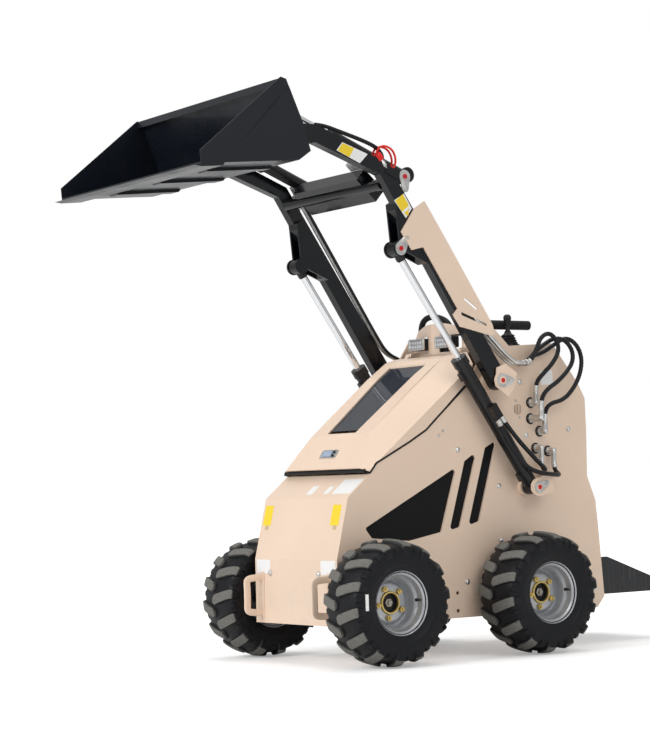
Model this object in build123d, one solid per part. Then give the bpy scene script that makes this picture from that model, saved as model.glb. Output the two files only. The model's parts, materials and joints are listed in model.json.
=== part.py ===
import os
from math import atan2, cos, degrees, hypot, radians, sin

from build123d import *

# Ride-on compact wheel loader. Front axle at x = 0, +X towards the bucket, +Y the machine's left.

HALF_WIDTH = 282.5

# Wheels
WHEELBASE = 730.0
WHEEL_Y = HALF_WIDTH + 145.5
TYRE_R = 238.0
TYRE_WIDTH = 208.0
TYRE_BEAD_R = 116.4
LUG_HEIGHT = 13.0
LUGS_A_SIDE = 17
LUG_THICKNESS = 36.0
LUG_SKEW = 28.0
LUG_INNER = 6.0
RIM_FLANGE_R = 119.0
RIM_WIDTH = 180.0
RIM_WALL = 5.0
RIM_DROP_R = 96.0
DISC_Y = WHEEL_Y + 7.0
DISC_THICKNESS = 8.0
DISC_BORE_R = 36.0
HUB_R = 46.0
HUB_FLANGE_R = 74.0
HUB_FLANGE = 12.0
MOTOR_R = 62.0
MOTOR_LENGTH = 60.0
RUNNING_GAP = 0.5

# Chassis
SIDE_PLATE = 8.0
PANEL = 6.0
BELLY_Z = 149.0
FRONT_X = 123.0
CREASE_1 = (121.0, 398.0)
CREASE_2 = (62.0, 632.0)
NOSE_TOP = (-45.0, 719.0)
SEAL_LINE = [(-45.0, 719.0), (-77.0, 756.0), (-239.0, 835.0), (-319.0, 879.0), (-367.0, 920.0), (-521.0, 1048.0)]
TOWER_LINE = [(-678.0, 1278.0), (-747.0, 1213.0)]
DECK_REAR = (-974.0, 1225.0)
REAR_LINE = [(-1019.0, 1169.0), (-1103.0, 1065.0), (-1138.0, 1002.0), (-1140.0, 882.0), (-1136.0, 684.0)]
HEEL_LINE = [(-1176.0, 585.0), (-1184.0, 503.0), (-1206.0, 192.0), (-1166.0, 149.0)]
VENT = [(-444.0, 728.0), (-455.0, 718.0), (-377.0, 485.0), (-221.0, 457.0), (-44.0, 474.0), (-13.0, 513.0)]
SLOT_1 = [(-545.0, 783.0), (-557.0, 771.0), (-468.0, 501.0), (-430.0, 492.0), (-421.0, 503.0), (-502.0, 758.0)]
SLOT_2 = [(-652.0, 831.0), (-661.0, 822.0), (-565.0, 520.0), (-525.0, 509.0), (-515.0, 519.0), (-607.0, 808.0)]
VENT_CORNER_R = 8.0
SCREEN = 2.0
SCREEN_LAP = 14.0
BOLT_PAIR_X = -447.0
BOLT_PAIR_Z = 211.5
BOLT_PAIR_SPACING = 69.0
BOLT_PAIR_R = 7.5
HORN = (-781.0, 959.0)
HORN_R = 22.0
HOSE_R = 9.0
FITTING_R = 13.0
ELBOW_LENGTH = 34.0
BULKHEAD = [(-848.0, 985.0, 36.0, 1), (-845.0, 921.0, 70.0, 1), (-890.0, 870.0, 36.0, 1), (-866.0, 802.0, 36.0, -1),
            (-930.0, 790.0, 36.0, -1)]
PORT_BLOCK = (335.0, 395.0, 20.0, 34.0)
ENGINE_CENTRE = (-480.0, 0.0, 435.3)
ENGINE_SIZE = (460.0, 400.0, 560.0)

# Hood
HOOD_PANEL_HALF = 193.0
HOOD_WALL = 4.0
HOOD_SHOULDER_DROP = 72.0
HOOD_CREST = [(-17.0, 742.0), (-105.0, 873.0), (-389.0, 1103.0), (-485.0, 1171.0), (-568.0, 1189.0)]
HOOD_REAR_GAP = 8.0
HOOD_HINGE = (-590.0, 1197.0)
HINGE_R = 11.0
HINGE_PIN_R = 5.0
HINGE_KNUCKLE = (153.0, 177.0)
HINGE_LUG = 6.0
SEAL_THICKNESS = 6.0
SEAT_GAP = 0.3
WINDOW_LAP = 12.0
LATCH = (-45.0, 797.0)
LATCH_SIZE = (108.0, 30.0, 14.0)
WINDOW_LOW = (-115.0, 97.0)
WINDOW_HIGH = (-456.0, 123.0)

# Boom
PIVOT = (-625.0, 1069.0)
PIVOT_PIN_R = 16.0
BOOM_ANGLE = 57.2
ARM_IN = HALF_WIDTH + 47.5
ARM_WIDTH = 40.0
ARM_DEPTH = 74.0
ELBOW_INNER = (-75.0, 1853.0)
ELBOW_OUTER = (-114.0, 1895.0)
TIP_LOW = (220.0, 1956.0)
TIP_HIGH = (211.0, 2024.0)
BUCKET_PIVOT = (300.0, 1990.0)
BUCKET_PIN_R = 15.0
ARM_TIP_R = 33.0
LIFT_EYE = (-160.0, 1573.0)
LIFT_BASE = (-800.0, 647.0)
LIFT_Y = ARM_IN + 6.0
LIFT_EYE_WIDTH = 46.0
LIFT_FOOT_WIDTH = 60.0
LIFT_EYE_R = 28.0
LIFT_PIN_R = 12.5
LIFT_EAR = 8.0
LIFT_EAR_R = 32.0
EAR_GAP = 1.5
BARREL_R = 28.5
BARREL_LENGTH = 622.0
LIFT_ROD_START = 505.0
ROD_R = 14.0
ROD_FIT = 0.05
PIN_FIT = 0.05
GLAND_LENGTH = 34.0
GLAND_RIM = 4.0
PORT_SIZE = (34.0, 22.0, 16.0)
COVER = [(-278.0, 1760.0), (-228.0, 1729.0), (-161.0, 1637.0), (-209.0, 1568.0), (-265.0, 1581.0), (-422.0, 1348.0),
         (-399.0, 1324.0), (-432.0, 1278.0), (-587.0, 1244.0), (-603.0, 1252.0), (-592.0, 1290.0), (-378.0, 1613.0)]
COVER_SLASH = [(-452.0, 1386.0), (-462.0, 1390.0), (-522.0, 1350.0), (-516.0, 1342.0)]
COVER_SLOT = [(-437.0, 1336.0), (-441.0, 1322.0), (-566.0, 1280.0), (-562.0, 1292.0)]
COVER_THICKNESS = 5.0
PIPE_R = 8.0
PIPE_Y = (ARM_IN + 22.0, ARM_IN, ARM_IN - 22.0)
PIPE_CLAMP = (206.0, 244.0, 36.0)
PIPE_LINE = [(-676.0, 1172.0), (-722.0, 1142.0), (-772.0, 1140.0)]
CROSS_FRONT = [(-160.0, 1771.0), (-70.0, 1851.0)]
CROSS_DEPTH = 60.0
CROSS_TOP = (-110.5, 1896.6)
CROSS_HALF = 221.0
CROSS_TUBE = (-112.0, 1822.0)
CROSS_TUBE_R = 22.0
TILT_BASE = (-240.0, 1866.0)
TILT_EYE = (345.0, 2105.0)
TILT_Y = ARM_IN - 45.0
TILT_BARREL_R = 25.0
TILT_BARREL_LENGTH = 368.0
TILT_ROD_START = 275.0
TILT_ROD_R = 12.5
TILT_EYE_R = 26.0
TILT_EYE_WIDTH = 52.0
TILT_PIN_R = 11.0
TILT_LUG = 12.0
TILT_GAP = 2.0

# Bucket
BUCKET_HALF = 527.5
BUCKET_SIDE = 8.0
BUCKET_SKIN = 6.0
BUCKET_HEEL = (401.0, 1857.0)
BUCKET_BACK_LOW = (349.0, 1893.0)
BUCKET_BACK_MID = (379.0, 1993.0)
BUCKET_BACK_TOP = (444.0, 2150.0)
BUCKET_SIDE_TOP = (468.0, 2156.0)
BUCKET_SIDE_FRONT = (817.0, 1868.0)
BUCKET_FLOOR_FRONT = (813.0, 1822.0)
LIP = (842.0, 1814.0)
LIP_THICKNESS = 12.0
TOP_RAIL = 26.0
DOUBLER = 5.0
DOUBLER_LINE = [(436.0, 2124.0), (712.0, 1832.0)]
RUNNER_WIDTH = 60.0
RUNNER_HEIGHT = 10.0
RUNNER_YS = (-330.0, 0.0, 330.0)
RUNNER_FRONT = 700.0

# Platform
PLATFORM_LENGTH = 340.0
PLATFORM_HALF = 235.0
PLATFORM_Z = 200.0
PLATFORM_HINGE = (-1206.4, 215.0)
PLATFORM_PLATE = 5.0
PLATFORM_SIDE_TALL = 150.0
PLATFORM_SIDE_LOW = 45.0


def upright(outline, y_from, y_to, radius=0.0):
    """Plate with its outline in x and z, from y_from to y_to."""
    if radius:
        wire = FilletPolyline(*outline, radius=radius, close=True)
    else:
        wire = Polyline(*outline, close=True)
    return Pos(0, y_to, 0) * extrude(Plane.XZ * make_face(wire), y_to - y_from)


def crosswise(centre, radius, y_from, y_to):
    """Round bar along Y."""
    bar = Rot(90, 0, 0) * Cylinder(radius, y_to - y_from)
    return Pos(centre[0], (y_from + y_to) / 2, centre[1]) * bar


def along(start, end, y, radius):
    """Round bar in the plane y, from one x, z point to another."""
    length = hypot(end[0] - start[0], end[1] - start[1])
    direction = (end[0] - start[0], 0, end[1] - start[1])
    return Plane((start[0], y, start[1]), z_dir=direction) * Cylinder(
        radius, length, align=(Align.CENTER, Align.CENTER, Align.MIN))


def between(start, end, distance):
    """Point a distance from start towards end."""
    length = hypot(end[0] - start[0], end[1] - start[1])
    return (start[0] + (end[0] - start[0]) * distance / length,
            start[1] + (end[1] - start[1]) * distance / length)


def left_and_right(shape):
    return shape, mirror(shape, Plane.XZ)


def tyre_profile(inset):
    """Cross-section of the tyre, its crown taken in by inset."""
    half = TYRE_WIDTH / 2
    shoulder = 224.0 - inset
    right = [(half * 0.82, TYRE_BEAD_R), (half, 168.0), (half * 0.97, 196.0), (half * 0.84, shoulder)]
    crown = [(half * 0.50, TYRE_R - 5 - inset), (0, TYRE_R - inset)]
    left = [(-y, r) for y, r in [*right, crown[0]]]
    return make_face(Polyline(*right, *crown, *reversed(left), close=True))


def lug_bars():
    """Slanted bars reaching in from both shoulders, the two rows half a pitch apart."""
    pitch = 360 / LUGS_A_SIDE
    length = TYRE_WIDTH
    bars = []
    for side in (1, -1):
        for i in range(LUGS_A_SIDE):
            bar = Box(LUG_THICKNESS, length, 90, align=(Align.CENTER, Align.MIN, Align.MIN))
            bar = Pos(0, LUG_INNER, 180) * Rot(0, 0, -LUG_SKEW) * bar
            if side < 0:
                bar = mirror(bar, Plane.XZ)
            bars.append(Rot(0, (i + (0 if side > 0 else 0.5)) * pitch, 0) * bar)
    return bars


def tyre():
    carcass = revolve(Plane.YZ * tyre_profile(LUG_HEIGHT), Axis.Y)
    crown = revolve(Plane.YZ * tyre_profile(0), Axis.Y)
    lugs = crown & Compound(lug_bars())
    return carcass + lugs


def rim():
    half = RIM_WIDTH / 2
    outer = [(-half, RIM_FLANGE_R), (-half + 12, RIM_FLANGE_R - 8), (-half + 40, RIM_DROP_R),
             (half - 40, RIM_DROP_R), (half - 12, RIM_FLANGE_R - 8), (half, RIM_FLANGE_R)]
    inner = [(y, r - RIM_WALL) for y, r in reversed(outer)]
    shell = revolve(Plane.YZ * make_face(Polyline(*outer, *inner, close=True)), Axis.Y)
    disc_y = DISC_Y - WHEEL_Y
    disc = crosswise((0, 0), RIM_DROP_R - RIM_WALL, disc_y, disc_y + DISC_THICKNESS)
    hub = crosswise((0, 0), HUB_FLANGE_R, disc_y - HUB_FLANGE, disc_y)
    cap = crosswise((0, 0), DISC_BORE_R, disc_y + DISC_THICKNESS, disc_y + DISC_THICKNESS + 18)
    return shell + disc + hub + cap


def drive_hub(x):
    start = HALF_WIDTH
    end = DISC_Y - HUB_FLANGE - RUNNING_GAP
    motor = crosswise((x, TYRE_R), MOTOR_R, start, start + MOTOR_LENGTH)
    return motor + crosswise((x, TYRE_R), HUB_R, start + MOTOR_LENGTH, end)


def side_outline():
    return [(FRONT_X, BELLY_Z), CREASE_1, CREASE_2, *SEAL_LINE, *TOWER_LINE, DECK_REAR, *REAR_LINE, *HEEL_LINE]


def side_plate():
    inner = HALF_WIDTH - SIDE_PLATE
    plate = upright(side_outline(), inner, HALF_WIDTH)
    for opening in (VENT, SLOT_1, SLOT_2):
        plate -= upright(opening, inner - 1, HALF_WIDTH + 1, VENT_CORNER_R)
    for side in (-1, 1):
        centre = (BOLT_PAIR_X, BOLT_PAIR_Z + side * BOLT_PAIR_SPACING / 2)
        plate -= crosswise(centre, BOLT_PAIR_R, inner - 1, HALF_WIDTH + 1)
    for x, z, out, up in BULKHEAD:
        plate -= crosswise((x, z), FITTING_R + SEAT_GAP, inner - 1, HALF_WIDTH + 1)
    for i in range(-2, 3):
        half = (HORN_R ** 2 - (i * 8.0) ** 2) ** 0.5
        slit = Pos(HORN[0] + i * 8.0, HALF_WIDTH - SIDE_PLATE / 2, HORN[1]) * Box(4, SIDE_PLATE + 2, 2 * half)
        plate -= slit
    return plate


def vent_screen():
    face = HALF_WIDTH - SIDE_PLATE
    xs = [p[0] for p in VENT + SLOT_1 + SLOT_2]
    zs = [p[1] for p in VENT + SLOT_1 + SLOT_2]
    low = (min(xs) - SCREEN_LAP, min(zs) - SCREEN_LAP)
    high = (max(xs) + SCREEN_LAP, max(zs) + SCREEN_LAP)
    corners = [low, (high[0], low[1]), (high[0], VENT[-1][1] + 40), (SLOT_1[0][0], high[1]), (low[0], high[1])]
    return upright(corners, face - SCREEN, face)


def sheet_across(line, thickness, half, towards=1):
    """Sheet from -half to half in y: line is its outer face, thickened to one side."""
    inner = []
    count = len(line)
    for i, (x, z) in enumerate(line):
        normals = []
        for a, b in ((i - 1, i), (i, i + 1)):
            if 0 <= a and b < count:
                dx, dz = line[b][0] - line[a][0], line[b][1] - line[a][1]
                size = hypot(dx, dz)
                normals.append((-dz / size * towards, dx / size * towards))
        nx = sum(n[0] for n in normals) / len(normals)
        nz = sum(n[1] for n in normals) / len(normals)
        scale = thickness / (nx * normals[0][0] + nz * normals[0][1])
        inner.append((x + nx * scale, z + nz * scale))
    return upright([*line, *reversed(inner)], -half, half)


def front_panel():
    line = [(FRONT_X, BELLY_Z), CREASE_1, CREASE_2, NOSE_TOP]
    return sheet_across(line, PANEL, HALF_WIDTH - SIDE_PLATE)


def belly_pan():
    line = [(FRONT_X - PANEL - SEAT_GAP, BELLY_Z), (HEEL_LINE[-1][0] + 4.7, BELLY_Z)]
    return sheet_across(line, PANEL, HALF_WIDTH - SIDE_PLATE, -1)


def rear_panel():
    line = [DECK_REAR, *REAR_LINE, *HEEL_LINE]
    return sheet_across(line, PANEL, HALF_WIDTH - SIDE_PLATE)


def deck_plate():
    line = [TOWER_LINE[-1], (DECK_REAR[0] + PANEL, DECK_REAR[1])]
    return sheet_across(line, PANEL, HALF_WIDTH - SIDE_PLATE)


def deck_height(x):
    (x0, z0), (x1, z1) = TOWER_LINE[-1], DECK_REAR
    return z0 + (x - x0) * (z1 - z0) / (x1 - x0)


def hood_seal():
    """Rubber strip on the upper edge of each side plate, under the hood's flank."""
    top = [(x, z + SEAL_THICKNESS) for x, z in reversed(SEAL_LINE)]
    inner = HALF_WIDTH - 2 * SIDE_PLATE
    return Compound(left_and_right(upright([*SEAL_LINE, *top], inner, HALF_WIDTH)))


def hood_form(inset, floor_drop):
    """Closed outer form of the hood, taken in by inset."""
    lift = SEAL_THICKNESS + SEAT_GAP - floor_drop
    crest = [(x - inset, z - inset) for x, z in HOOD_CREST]
    crest[-1] = (HOOD_CREST[-1][0] + inset, crest[-1][1])
    foot = SEAL_LINE[-1]
    slope = (TOWER_LINE[0][0] - foot[0]) / (TOWER_LINE[0][1] - foot[1])
    rear_z = foot[1] + 66
    rear = (foot[0] + slope * (rear_z - foot[1]) + HOOD_REAR_GAP + inset, rear_z)
    sill = [(x, z + lift) for x, z in reversed(SEAL_LINE)]
    sill[0] = (foot[0] + HOOD_REAR_GAP + inset, foot[1] + lift)
    half = HALF_WIDTH - inset
    solid = upright([*crest, rear, *sill], -half, half)
    a, b = HOOD_CREST[1], HOOD_CREST[3]
    run = hypot(b[0] - a[0], b[1] - a[1])
    slope_plane = Plane((a[0] - inset, 0, a[1] - inset), x_dir=(0, 1, 0), z_dir=(b[0] - a[0], 0, b[1] - a[1]))
    edge = HOOD_PANEL_HALF - inset * 0.5
    wedge = [(edge, 0), (half + 1, -HOOD_SHOULDER_DROP - 1), (half + 40, -HOOD_SHOULDER_DROP), (half + 40, 80),
             (edge, 80)]
    for side in (1, -1):
        face = make_face(Polyline(*[(side * y, -z) for y, z in wedge], close=True))
        solid -= extrude(slope_plane * face, run + 260, both=True)
    return solid


def hood():
    shell = hood_form(0, 0) - hood_form(HOOD_WALL, 60)
    (lx, lw), (hx, hw) = WINDOW_LOW, WINDOW_HIGH
    opening = extrude(make_face(Polyline((lx, -lw), (hx, -hw), (hx, hw), (lx, lw), close=True)), 1500)
    x, z = HOOD_CREST[-1]
    web = [(x + 8, z - 4), (HOOD_HINGE[0], HOOD_HINGE[1] + 10), (HOOD_HINGE[0], HOOD_HINGE[1] - 9), (x + 3, z - 7)]
    knuckle = upright(web, *HINGE_KNUCKLE) + crosswise(HOOD_HINGE, HINGE_R, *HINGE_KNUCKLE)
    knuckle -= crosswise(HOOD_HINGE, HINGE_PIN_R + PIN_FIT, HINGE_KNUCKLE[0] - 1, HINGE_KNUCKLE[1] + 1)
    left, right = left_and_right(knuckle)
    return shell - opening + left + right


def arm():
    """One boom arm: lower run, elbow, upper run, rounded ends."""
    direction = (cos(radians(BOOM_ANGLE)), sin(radians(BOOM_ANGLE)))
    normal = (direction[1], -direction[0])
    half = ARM_DEPTH / 2
    front = (PIVOT[0] + normal[0] * half, PIVOT[1] + normal[1] * half)
    back = (PIVOT[0] - normal[0] * half, PIVOT[1] - normal[1] * half)
    outline = [front, ELBOW_INNER, TIP_LOW, BUCKET_PIVOT, TIP_HIGH, ELBOW_OUTER, back]
    body = upright(outline, ARM_IN, ARM_IN + ARM_WIDTH)
    body += crosswise(PIVOT, half, ARM_IN, ARM_IN + ARM_WIDTH)
    tip = [TIP_LOW, (BUCKET_PIVOT[0] - 12, BUCKET_PIVOT[1] - ARM_TIP_R + 2),
           (BUCKET_PIVOT[0] + 5, BUCKET_PIVOT[1] + ARM_TIP_R), TIP_HIGH]
    body += upright(tip, ARM_IN, ARM_IN + ARM_WIDTH)
    body += crosswise(BUCKET_PIVOT, ARM_TIP_R, ARM_IN, ARM_IN + ARM_WIDTH)
    ear_out = LIFT_Y + LIFT_EYE_WIDTH / 2 + EAR_GAP + LIFT_EAR
    ear_in = LIFT_Y - LIFT_EYE_WIDTH / 2 - EAR_GAP - LIFT_EAR
    root_low = between(front, ELBOW_INNER, 560)
    root_high = between(front, ELBOW_INNER, 830)
    inside = (-(normal[0]) * 30, -(normal[1]) * 30)
    ear = [root_low, LIFT_EYE, root_high, (root_high[0] + inside[0], root_high[1] + inside[1]),
           (root_low[0] + inside[0], root_low[1] + inside[1])]
    lug = upright(ear, ear_in, ear_out) + crosswise(LIFT_EYE, LIFT_EAR_R, ear_in, ear_out)
    slot_end = (front[0] + normal[0] * 12, front[1] + normal[1] * 12)
    far = (slot_end[0] + direction[0] * 1100, slot_end[1] + direction[1] * 1100)
    slot = [slot_end, far, (far[0] + normal[0] * 200, far[1] + normal[1] * 200),
            (slot_end[0] + normal[0] * 200, slot_end[1] + normal[1] * 200)]
    lug -= upright(slot, ear_in + LIFT_EAR, ear_out - LIFT_EAR)
    body += lug
    body -= crosswise(PIVOT, PIVOT_PIN_R + PIN_FIT, ARM_IN - 1, ARM_IN + ARM_WIDTH + 1)
    body -= crosswise(BUCKET_PIVOT, BUCKET_PIN_R + PIN_FIT, ARM_IN - 1, ARM_IN + ARM_WIDTH + 1)
    return body


def cross_member():
    (x0, z0), (x1, z1) = CROSS_FRONT
    length = hypot(x1 - x0, z1 - z0)
    along_x, along_z = (x1 - x0) / length, (z1 - z0) / length
    back = (-along_z * CROSS_DEPTH, along_x * CROSS_DEPTH)
    outline = [(x0, z0), (x1, z1), (x1 + back[0], z1 + back[1]), (x0 + back[0], z0 + back[1])]
    box = upright(outline, -CROSS_HALF, CROSS_HALF)
    box += crosswise(CROSS_TUBE, CROSS_TUBE_R, -ARM_IN, ARM_IN)
    for side in (1, -1):
        for inner in tilt_lug_faces():
            low, high = sorted((side * inner, side * (inner + TILT_LUG)))
            lug = upright([(CROSS_TUBE[0] + 6, CROSS_TUBE[1] + 14), (TILT_BASE[0] + 6, TILT_BASE[1] + TILT_EYE_R + 3),
                           (TILT_BASE[0] - 8, TILT_BASE[1] - TILT_EYE_R), (CROSS_TUBE[0], CROSS_TUBE[1] - 18)], low, high)
            box += lug + crosswise(TILT_BASE, TILT_EYE_R + 4, low, high)
        low, high = sorted((side * (CROSS_HALF - 1), side * (tilt_lug_faces()[0] + 1)))
        box += crosswise(between(CROSS_TUBE, TILT_BASE, 60), 14, low, high)
        low, high = sorted((side * tilt_lug_faces()[0], side * (ARM_IN - 2)))
        box += crosswise(TILT_BASE, TILT_PIN_R, low, high)
    return box


def tilt_lug_faces():
    """Inboard face of the inner and of the outer lug beside a tilt cylinder's eye."""
    half = TILT_EYE_WIDTH / 2 + TILT_GAP
    return (TILT_Y - half - TILT_LUG, TILT_Y + half)


def cylinder_barrel(base, eye, y, radius, length, rod_radius, foot_radius, foot_width, pin_radius):
    """Barrel with its foot round the base pin and a bore for the rod."""
    barrel = along(between(base, eye, foot_radius * 0.7), between(base, eye, length), y, radius)
    barrel += crosswise(base, foot_radius, y - foot_width / 2, y + foot_width / 2)
    for side in (1, -1):
        low, high = sorted((y + side * foot_width / 2, y + side * (foot_width / 2 + 40)))
        barrel -= crosswise(base, foot_radius + 6, low, high)
    barrel += along(between(base, eye, length - GLAND_LENGTH), between(base, eye, length), y, radius + GLAND_RIM)
    barrel += barrel_ports(base, eye, y, radius, length)
    barrel -= along(between(base, eye, foot_radius + 40), eye, y, rod_radius + ROD_FIT)
    return barrel - crosswise(base, pin_radius + PIN_FIT, y - foot_width, y + foot_width)


def barrel_ports(base, eye, y, radius, length):
    """Two oil ports on the barrel's underside, near its ends."""
    angle = degrees(atan2(eye[1] - base[1], eye[0] - base[0]))
    ports = None
    for distance in (70, length - 70):
        x, z = between(base, eye, distance)
        port = Pos(x, y, z) * Rot(0, -angle, 0) * Pos(0, 0, -radius) * Box(*PORT_SIZE)
        ports = port if ports is None else ports + port
    return ports


def cylinder_rod(base, eye, y, start, radius, eye_radius, eye_width):
    """Rod with the eye at its end; the middle of the pin stays in the eye."""
    rod = along(between(base, eye, start), eye, y, radius)
    rod += along(between(eye, base, eye_radius + 16), between(eye, base, 8), y, radius + 5)
    return rod + crosswise(eye, eye_radius, y - eye_width / 2, y + eye_width / 2)


def lift_barrel():
    barrel = cylinder_barrel(LIFT_BASE, LIFT_EYE, LIFT_Y, BARREL_R, BARREL_LENGTH, ROD_R, LIFT_EYE_R,
                             LIFT_FOOT_WIDTH, LIFT_PIN_R)
    low, high, out, wide = PORT_BLOCK
    start, end = between(LIFT_BASE, LIFT_EYE, low), between(LIFT_BASE, LIFT_EYE, high)
    c, n = (end[0] - start[0]) / (high - low), (end[1] - start[1]) / (high - low)
    corners = [(x + side * n * wide / 2, z - side * c * wide / 2)
               for (x, z), side in ((start, 1), (end, 1), (end, -1), (start, -1))]
    hollow = along(between(LIFT_BASE, LIFT_EYE, low - 1), between(LIFT_BASE, LIFT_EYE, high + 1), LIFT_Y, BARREL_R - 3)
    return barrel + (upright(corners, LIFT_Y + 16, LIFT_Y + BARREL_R + out) - hollow)


def lift_rod():
    return cylinder_rod(LIFT_BASE, LIFT_EYE, LIFT_Y, LIFT_ROD_START, ROD_R, LIFT_EYE_R, LIFT_EYE_WIDTH)


def tilt_barrel():
    return cylinder_barrel(TILT_BASE, TILT_EYE, TILT_Y, TILT_BARREL_R, TILT_BARREL_LENGTH, TILT_ROD_R, TILT_EYE_R,
                           TILT_EYE_WIDTH, TILT_PIN_R)


def tilt_rod():
    return cylinder_rod(TILT_BASE, TILT_EYE, TILT_Y, TILT_ROD_START, TILT_ROD_R, TILT_EYE_R, TILT_EYE_WIDTH)


def bucket_shell():
    skin = BUCKET_HALF - BUCKET_SIDE
    line = [BUCKET_FLOOR_FRONT, BUCKET_HEEL, BUCKET_BACK_LOW, BUCKET_BACK_MID, BUCKET_BACK_TOP]
    shell = sheet_across(line, BUCKET_SKIN, skin, -1)
    rail = [BUCKET_BACK_TOP, (BUCKET_BACK_TOP[0] + 24, BUCKET_BACK_TOP[1] + 2),
            (BUCKET_BACK_TOP[0] + 24, BUCKET_BACK_TOP[1] + 2 - TOP_RAIL), (BUCKET_BACK_TOP[0] - 5, BUCKET_BACK_TOP[1] - 14)]
    shell += upright(rail, -skin, skin)
    outline = [BUCKET_FLOOR_FRONT, BUCKET_HEEL, BUCKET_BACK_LOW, BUCKET_BACK_MID, BUCKET_BACK_TOP,
               BUCKET_SIDE_TOP, BUCKET_SIDE_FRONT]
    doubler = [*DOUBLER_LINE, BUCKET_HEEL, BUCKET_BACK_LOW, BUCKET_BACK_MID]
    for side in (1, -1):
        low, high = sorted((side * skin, side * (BUCKET_HALF - DOUBLER)))
        shell += upright(outline, low, high)
        low, high = sorted((side * (BUCKET_HALF - DOUBLER), side * BUCKET_HALF))
        shell += upright(doubler, low, high)
    slope = (BUCKET_HEEL[1] - BUCKET_FLOOR_FRONT[1]) / (BUCKET_HEEL[0] - BUCKET_FLOOR_FRONT[0])
    x0 = BUCKET_HEEL[0] + 4
    runner = [(x0, BUCKET_HEEL[1] + 4 * slope), (RUNNER_FRONT, BUCKET_HEEL[1] + (RUNNER_FRONT - BUCKET_HEEL[0]) * slope),
              (RUNNER_FRONT - 14, BUCKET_HEEL[1] + (RUNNER_FRONT - BUCKET_HEEL[0]) * slope - RUNNER_HEIGHT),
              (x0 + 10, BUCKET_HEEL[1] + 4 * slope - RUNNER_HEIGHT)]
    for y in RUNNER_YS:
        shell += upright(runner, y - RUNNER_WIDTH / 2, y + RUNNER_WIDTH / 2)
    return shell


def cutting_edge():
    x0, z0 = BUCKET_FLOOR_FRONT
    slope = (BUCKET_HEEL[1] - z0) / (BUCKET_HEEL[0] - x0)
    back = (x0 - 95, z0 - 95 * slope)
    outline = [LIP, (x0, z0), back, (back[0] + 8, back[1] - LIP_THICKNESS), (x0, z0 - LIP_THICKNESS)]
    return upright(outline, -BUCKET_HALF, BUCKET_HALF)


def quick_attach():
    """Plate on the bucket's back, with the ears of the pivot pins and of the tilt pins."""
    low_z = BUCKET_BACK_LOW[1] + 14
    high_z = 2120.0
    mid_x, mid_z = BUCKET_BACK_MID
    low_x = BUCKET_BACK_LOW[0] + (low_z - BUCKET_BACK_LOW[1]) * (mid_x - BUCKET_BACK_LOW[0]) / (mid_z - BUCKET_BACK_LOW[1])
    high_x = mid_x + (high_z - mid_z) * (BUCKET_BACK_TOP[0] - mid_x) / (BUCKET_BACK_TOP[1] - mid_z)
    line = [(low_x - SEAT_GAP, low_z), (mid_x - SEAT_GAP, mid_z), (high_x - SEAT_GAP, high_z)]
    inner_face, outer_face = tilt_lug_faces()
    outer_width = ARM_IN - EAR_GAP - outer_face
    plate = sheet_across(line, 12, outer_face + outer_width)
    px, pz = BUCKET_PIVOT
    tx, tz = TILT_EYE
    for side in (1, -1):
        for start, width in ((inner_face, TILT_LUG), (outer_face, outer_width)):
            low, high = sorted((side * start, side * (start + width)))
            ear = [(x - 1, z) for x, z in line]
            ear += [(tx - 4, tz + TILT_EYE_R), (tx - TILT_EYE_R, tz), (px - 34, pz + 6), (px, pz - 34)]
            plate += upright(ear, low, high) + crosswise(BUCKET_PIVOT, 34, low, high)
            plate += crosswise(TILT_EYE, TILT_EYE_R + 2, low, high)
        low, high = sorted((side * (outer_face + 1), side * (ARM_IN + ARM_WIDTH + 10)))
        plate += crosswise(BUCKET_PIVOT, BUCKET_PIN_R, low, high)
    return plate


def platform():
    x0 = PLATFORM_HINGE[0]
    x1 = x0 - PLATFORM_LENGTH
    floor = Pos((x0 + x1) / 2, 0, PLATFORM_Z) * Box(PLATFORM_LENGTH, 2 * PLATFORM_HALF, PLATFORM_PLATE)
    cheek = [(x0, PLATFORM_Z - 2.5), (x0, PLATFORM_Z + PLATFORM_SIDE_TALL), (x0 - 60, PLATFORM_Z + PLATFORM_SIDE_TALL),
             (x1, PLATFORM_Z + PLATFORM_SIDE_LOW), (x1, PLATFORM_Z - 2.5)]
    for side in (1, -1):
        low, high = sorted((side * PLATFORM_HALF, side * (PLATFORM_HALF + 6)))
        floor += upright(cheek, low, high)
    return floor


def pivot_bracket():
    """Outer plate beside the arm, with the web that carries it from the side plate."""
    outer = ARM_IN + ARM_WIDTH + 5
    px, pz = PIVOT
    outline = [(px + 22, pz + 50), (px - 20, pz + 66), (px - 77, pz + 29), (px - 60, pz - 30), (px - 29, pz - 66),
               (px + 30, pz - 22)]
    plate = upright(outline, outer, outer + 8) + crosswise(PIVOT, 34, outer, outer + 8)
    web = [(px - 77, pz + 29), (px - 60, pz - 30), (px - 52, pz - 28), (px - 69, pz + 31)]
    plate += upright(web, HALF_WIDTH, outer)
    boss = crosswise(PIVOT, 34, HALF_WIDTH, ARM_IN - 2)
    pin = crosswise(PIVOT, PIVOT_PIN_R, HALF_WIDTH, outer + 14)
    return plate + boss + pin


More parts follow.
